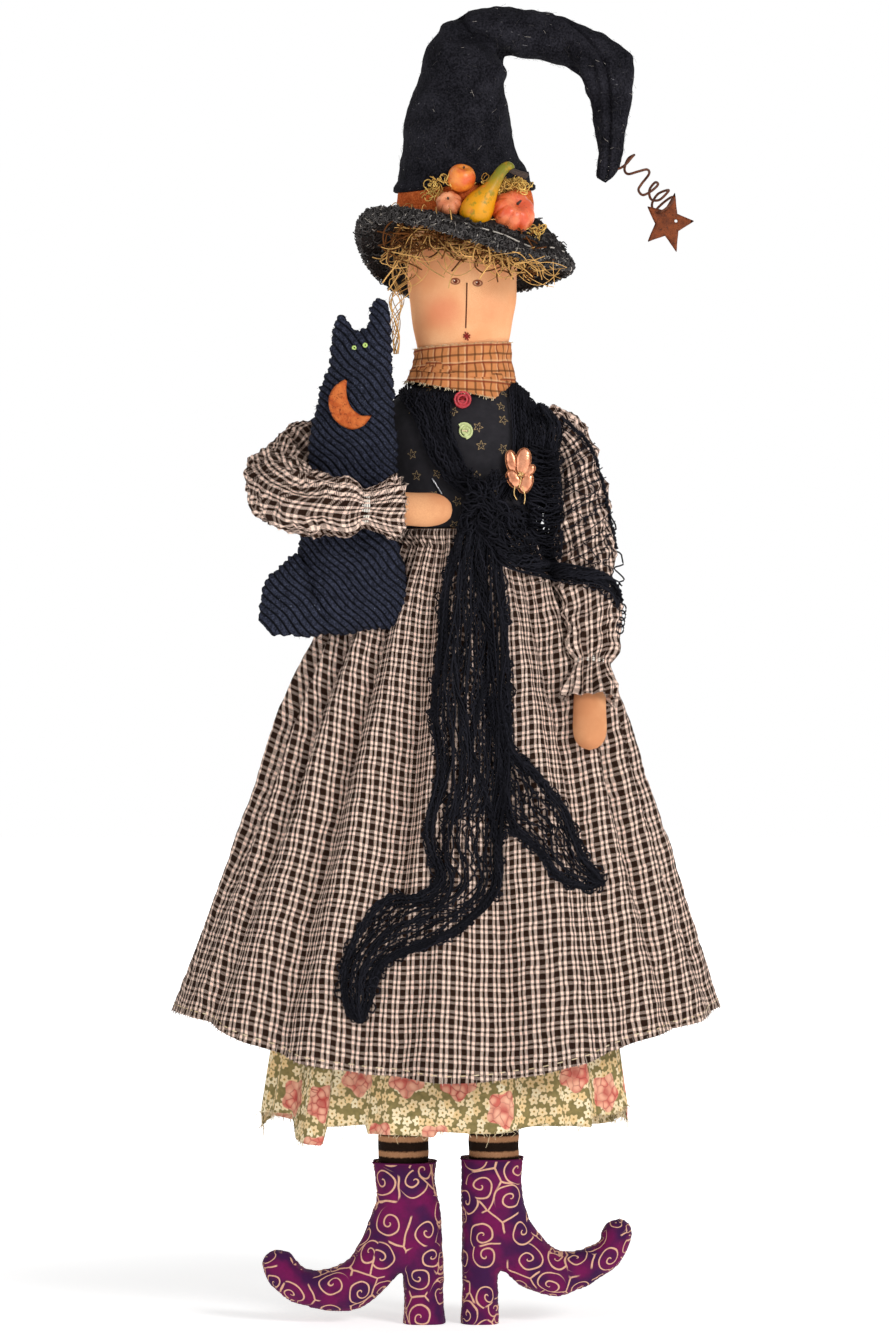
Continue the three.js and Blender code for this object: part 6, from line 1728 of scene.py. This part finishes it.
drape += band(dress_tree, CORNER_BAND, 24, 60, 0.25, 1.0, 4.4, 76)
for line in net_lines(NET_BACK, NET_OUT, 14, 20, 100, 75):
    placed = np.array([at_photo(px, py, 30) for px, py in line])
    depth = 30.0
    for q in placed:
        hit = dress_tree.ray_cast(Vector((q[0], 400, q[2])), Vector((0, -1, 0)))[0]
        depth = hit.y + 2.0 if hit else depth
        q[1] = depth
    drape.append(placed)
for line in drape:
    line[np.abs(line[:, 1]) > 150, 1] = 0
for k in range(SCALLOPS):
    px, py = np.interp(k, SCALLOP_AT, SCALLOP_PX), np.interp(k, SCALLOP_AT, SCALLOP_PY)
    foot = laid(dress_tree, [at_photo(px, py, -20)], 2.0)[0]
    turn = np.linspace(0, TAU, 14)
    drape.append(foot + np.stack([2.4 * np.sin(turn), 0.8 * np.cos(turn), -3.2 + 3.2 * np.cos(turn)], 1))
thick = [NET_YARN if k < fine else YARN for k in range(len(drape))]
drape_obj = strands("shawl_arm_drape", drape, thick, KNIT, 5)
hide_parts("shawl_arm_drape")
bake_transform(drape_obj)

# Knot at the waist: yarns in each part of it, and pixel, depth, half depth and half width along the part
KNOT = [
    (30, [(464, 474, -40, 5, 7), (477, 490, -47, 5, 9), (490, 512, -49, 5, 10), (496, 534, -44, 5, 8)]),
    (24, [(500, 474, -40, 4, 7), (489, 492, -48, 4, 8), (474, 510, -48, 4, 8), (464, 532, -42, 4, 7)]),
    (18, [(466, 500, -47, 4, 6), (484, 505, -52, 4, 7), (504, 512, -48, 4, 6), (516, 524, -42, 3, 6)]),
]
knot = []
for count, centre in KNOT:
    line = [(*at_photo(px, py, y), d, w) for px, py, y, d, w in centre]
    knot += [knitted(q) for q in bunch(line, count, 30, 0.4, 1.8)]
knot_obj = place(strands("shawl_knot", knot, YARN, KNIT, 4), "torso_body", "black_knit", "shawl_knot")

# Two tails down the skirt: rope-like edges with an open net between them
LONG_LEFT = [
    (466, 515), (454, 550), (443, 590), (439, 650), (433, 710), (438, 770), (428, 815), (427, 842),
    (437, 874), (418, 892), (386, 897), (358, 929), (344, 965), (347, 1002), (360, 1017),
]
LONG_RIGHT = [
    (494, 520), (498, 550), (503, 590), (507, 650), (509, 710), (508, 770), (502, 815), (499, 850),
    (497, 886), (470, 918), (432, 940), (402, 950), (381, 965), (374, 992), (364, 1017),
]
LONG_MIDDLE = [
    (484, 520), (480, 560), (484, 610), (492, 650), (480, 700), (470, 745), (484, 790), (494, 830),
    (496, 870),
]
LONG_INNER = [
    (470, 530), (458, 600), (456, 680), (466, 740), (456, 800), (446, 850), (452, 880), (430, 912),
    (396, 922), (372, 950), (360, 985),
]
SHORT_LEFT = [
    (486, 700), (495, 735), (503, 790), (511, 826), (535, 848), (556, 874), (584, 886), (601, 882),
]
SHORT_RIGHT = [
    (503, 700), (512, 748), (534, 770), (550, 790), (564, 808), (580, 850), (594, 868), (602, 880),
]
# Ropes on each tail: line, radius along it, yarns and turns
LONG_ROPES = [
    (LONG_LEFT, [2.2, 1.2, 1.8, 0.9, 1.9, 1.2, 1.4, 0.6], 6, 7),
    (LONG_RIGHT, [1.6, 0.8, 1.7, 0.9, 1.9, 1.1, 1.3, 0.6], 6, 7),
    (LONG_MIDDLE, [3.4, 2.8, 2.2, 1.6], 9, 6),
    (LONG_INNER, [2.0, 2.2, 1.6, 1.0], 5, 7),
]
SHORT_ROPES = [
    (SHORT_LEFT, [1.0, 1.7, 0.9, 1.8, 1.0], 6, 4),
    (SHORT_RIGHT, [1.0, 1.8, 1.0, 1.9, 1.0], 6, 4),
]
# How many points of the long tail's edges belong to its denser upper part
LONG_UPPER = 7
# The pixel row of the knot's underside
KNOT_LOW = 530


def edge_loops(edge, count, tree, seed):
    """Small loops of yarn that stand off an edge of the knit."""
    r = np.random.default_rng(seed)
    path = spline(edge, 400)
    turn = np.linspace(0, TAU, 12)
    loops = []
    for i in r.integers(4, 396, count):
        wide, tall = r.uniform(1.5, 4.5), r.uniform(2.5, 7.0)
        lean = r.uniform(0, TAU)
        flat = np.stack([wide * np.sin(turn), tall * np.cos(turn)], 1)
        spin = np.array([[math.cos(lean), -math.sin(lean)], [math.sin(lean), math.cos(lean)]])
        loops.append(path[i] + r.normal(0, 1.5, 2) + flat @ spin)
    return on_front(loops, tree, 1.2, 3.4, seed + 1, 0.3)


def tail(left, right, across, repeats, upright, ropes, seed):
    """A tail of the shawl: net, upright yarns, denser edges with loops, and ropes."""
    left, right = np.array(left, float), np.array(right, float)
    lines = net(skirt_tree, (left, right), across, repeats, 320, 1.0, 2.8, seed, 0.3)
    lines += band(skirt_tree, (left, right), upright, 240, 0.14, 1.0, 3.2, seed + 6)
    lines += band(skirt_tree, (left, lerp(left, right, 0.14)), 5, 200, 0.3, 1.2, 3.6, seed + 2)
    lines += band(skirt_tree, (lerp(left, right, 0.86), right), 5, 200, 0.3, 1.2, 3.6, seed + 4)
    for edge in (left, right):
        lines += edge_loops(edge, 5 * across, skirt_tree, seed + 8)
    for path, half, count, turns in ropes:
        lines += rope(path, half, count, turns, skirt_tree, 0.8)
    return lines


def hung(lines):
    """Holds the top of a tail in front of the knot's underside."""
    top = at_photo(0, KNOT_LOW)[2]
    for line in lines:
        above = line[:, 2] > top - 12
        held = np.interp(line[above, 2], [top - 12, top + 14], [-38, -47])
        line[above, 1] = np.minimum(line[above, 1], held)
    return lines


long_tail = tail(LONG_LEFT, LONG_RIGHT, 15, 70, 14, LONG_ROPES, 81)
long_upper = (LONG_LEFT[:LONG_UPPER], LONG_RIGHT[:LONG_UPPER])
long_tail += band(skirt_tree, long_upper, 26, 120, 0.1, 1.0, 4.0, 90)
short_tail = tail(SHORT_LEFT, SHORT_RIGHT, 10, 28, 10, SHORT_ROPES, 95)
for name, lines in (("shawl_long_tail", hung(long_tail)), ("shawl_short_tail", short_tail)):
    place(strands(name, lines, YARN, KNIT, 4), "torso_body", "black_knit", name)


# Buttons, brooch and pins on the bodice

# CAD nodes that keep their shape: material and slot
KEPT_NODES = {
    "red_button": (RED, "red_plastic"),
    "green_button": (GREEN, "green_plastic"),
    "red_button_stitch": (RED_THREAD, "thread"),
    "green_button_stitch": (FRAY, "thread"),
    "brooch_pin": (BRASS, "copper"),
    "brooch_stamen": (THREAD, "thread"),
}
BUTTON_RIMS = (0.96, 0.6)
# Petals of the brooch: pixel, turn, half length and half width
PETALS = [
    (511.5, 462, 1.75, 7.6, 4.4), (523.0, 462, 1.42, 9.0, 5.9), (513.5, 479, 2.1, 6.2, 4.9),
    (525.5, 483, 1.15, 6.8, 5.3), (529.0, 471, 0.8, 5.0, 3.4),
]
PETAL_POINTS = 36
BROOCH_HEART = (521, 474)
BROOCH_WIRES = [
    [(515, 486), (514, 494), (517, 500)],
    [(522, 486), (525, 496), (524, 504)],
    [(519, 472), (521, 478), (519, 488)],
]
PINS = [[(432, 478), (442, 494)], [(457, 481), (458, 489)]]

for node, (material, slot) in KEPT_NODES.items():
    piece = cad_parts[node]
    piece.data.materials.clear()
    piece.data.materials.append(material)


def facing(node):
    """A node's front middle and half width, for pieces that sit on it."""
    low, high = (np.array(v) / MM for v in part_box(node))
    return np.array([(low[0] + high[0]) / 2, low[1], (low[2] + high[2]) / 2]), (high[0] - low[0]) / 2


for node in ("red_button", "green_button"):
    material, slot = KEPT_NODES[node]
    at, half = facing(node)
    for k, share in enumerate(BUTTON_RIMS):
        rings = hoop(at + [0, 0.5, 0], half * share - 0.55, (0.6, 0.6), (17, 65))
        place(skin(f"{node}_rim_{k}", rings, material), "torso_body", slot)

def petal_swell(full):
    return 0.55 * full**0.42


flower_y = facing("brooch_flower")[0][1]
trim = []
for k, (px, py, turn, long, wide) in enumerate(PETALS):
    middle = at_photo(px, py, flower_y + 1.6 - 0.7 * (k % 3))
    a = np.linspace(0, TAU, PETAL_POINTS, endpoint=False)
    along = np.array([math.cos(turn), math.sin(turn)])
    side = np.array([-along[1], along[0]])
    outline = middle[[0, 2]] + np.outer(np.cos(a) * long, along)
    outline += np.outer(np.sin(a) * wide * (0.92 + 0.08 * np.cos(2 * a)), side)
    petal = pillow(f"brooch_petal_{k + 1}", outline, petal_swell, COPPER, middle[1], 1.1, 1)
    place(petal, "torso_body", "copper")
    ring = np.stack([outline[:, 0], np.full(PETAL_POINTS, middle[1] - 0.3), outline[:, 1]], 1)
    trim.append(np.vstack([ring, ring[:1]]))
place(strands("brooch_flower", trim, 0.26, TRIM, 6), "torso_body", "copper", "brooch_flower")
heart = at_photo(*BROOCH_HEART, flower_y - 1.4)
beads = []
for _ in range(14):
    way = unit(rng.normal(0, 1, 3) * [1, 0.2, 1] + [0, -0.6, 0])
    beads.append(heart + np.outer(np.linspace(0, 1, 5), way * rng.uniform(1.2, 2.6)))
place(strands("brooch_heart", beads, 0.3, BRASS, 5), "torso_body", "copper")
wires = [spline([at_photo(px, py, flower_y - 0.6) for px, py in line], 14) for line in BROOCH_WIRES]
place(strands("brooch_wires", wires, 0.45, BRASS, 6), "torso_body", "copper")
pins = [laid(front_tree, spline([at_photo(*q, -38) for q in line], 12), 1.1) for line in PINS]
place(strands("straight_pins", pins, 0.45, STEEL, 8), "torso_body", "steel")


# Studio: pale floor that fades to white, soft light from all round and a large key light from the right

FLOOR = np.array([(-6000, -3600, 0), (6000, -3600, 0), (6000, 9000, 0), (-6000, 9000, 0)])
# How far from the doll the floor begins to fade and is white, and its glow at both ends
FADE_START, FADE_END = 260.0, 900.0
GLOW_NEAR, GLOW_MORE = 0.56, 0.54
SKY_LIGHT = 0.4
# Lights: name, place and size in metres, and power
LIGHTS = [("key", (1.9, -2.5, 1.7), 1.0, 61), ("fill", (-2.2, -2.2, 1.2), 1.6, 14)]
LIT_POINT = Vector((0, 0, 0.45))
SENSOR, LENS = 24, 88.63

pale = Paint("floor", Roughness=0.95, Specular_IOR_Level=0.0, Emission_Color=(1, 1, 1))
away = pale.node("VectorMath", {0: pale.at}, "Value", operation="LENGTH")
glow = pale.math("MULTIPLY_ADD", pale.step(away, FADE_START, FADE_END), GLOW_MORE, GLOW_NEAR)
pale.put(pale.shader, "Emission Strength", glow)
floor = mesh_object("floor", FLOOR, [np.array([[0, 1, 2, 3]])], pale.done((0.85, 0.85, 0.85)))

# The camera and mirrors see plain white round the floor; the doll is lit by a dimmer sky
scene = bpy.context.scene
scene.world = bpy.data.worlds.new("studio")
scene.world.use_nodes = True
world_nodes, world_links = scene.world.node_tree.nodes, scene.world.node_tree.links
sky, white = world_nodes["Background"], world_nodes.new("ShaderNodeBackground")
for background, strength in ((sky, SKY_LIGHT), (white, 1.0)):
    background.inputs["Color"].default_value = (1, 1, 1, 1)
    background.inputs["Strength"].default_value = strength
paths = world_nodes.new("ShaderNodeLightPath")
seen = paths.outputs["Is Camera Ray"]
for ray in ("Is Glossy Ray", "Is Transmission Ray"):
    either = world_nodes.new("ShaderNodeMath")
    either.operation = "MAXIMUM"
    world_links.new(seen, either.inputs[0])
    world_links.new(paths.outputs[ray], either.inputs[1])
    seen = either.outputs[0]
mixer = world_nodes.new("ShaderNodeMixShader")
for socket, source in zip(mixer.inputs, (seen, sky.outputs[0], white.outputs[0])):
    world_links.new(source, socket)
world_links.new(mixer.outputs[0], world_nodes["World Output"].inputs["Surface"])

for name, at, size, power in LIGHTS:
    lamp = bpy.data.lights.new(name, "AREA")
    lamp.energy = power
    lamp.size = size
    obj = bpy.data.objects.new(name, lamp)
    obj.location = at
    obj.rotation_euler = (LIT_POINT - Vector(at)).to_track_quat("-Z", "Y").to_euler()
    scene.collection.objects.link(obj)

camera = bpy.data.objects.new("camera", bpy.data.cameras.new("camera"))
camera.location = (CAMERA_X * MM, -CAMERA_AWAY * MM, CAMERA_Z * MM)
camera.rotation_euler = (math.pi / 2, 0, 0)
camera.data.sensor_fit = "VERTICAL"
camera.data.sensor_height = SENSOR
camera.data.lens = LENS
scene.collection.objects.link(camera)
scene.camera = camera
scene.view_settings.view_transform = "Standard"
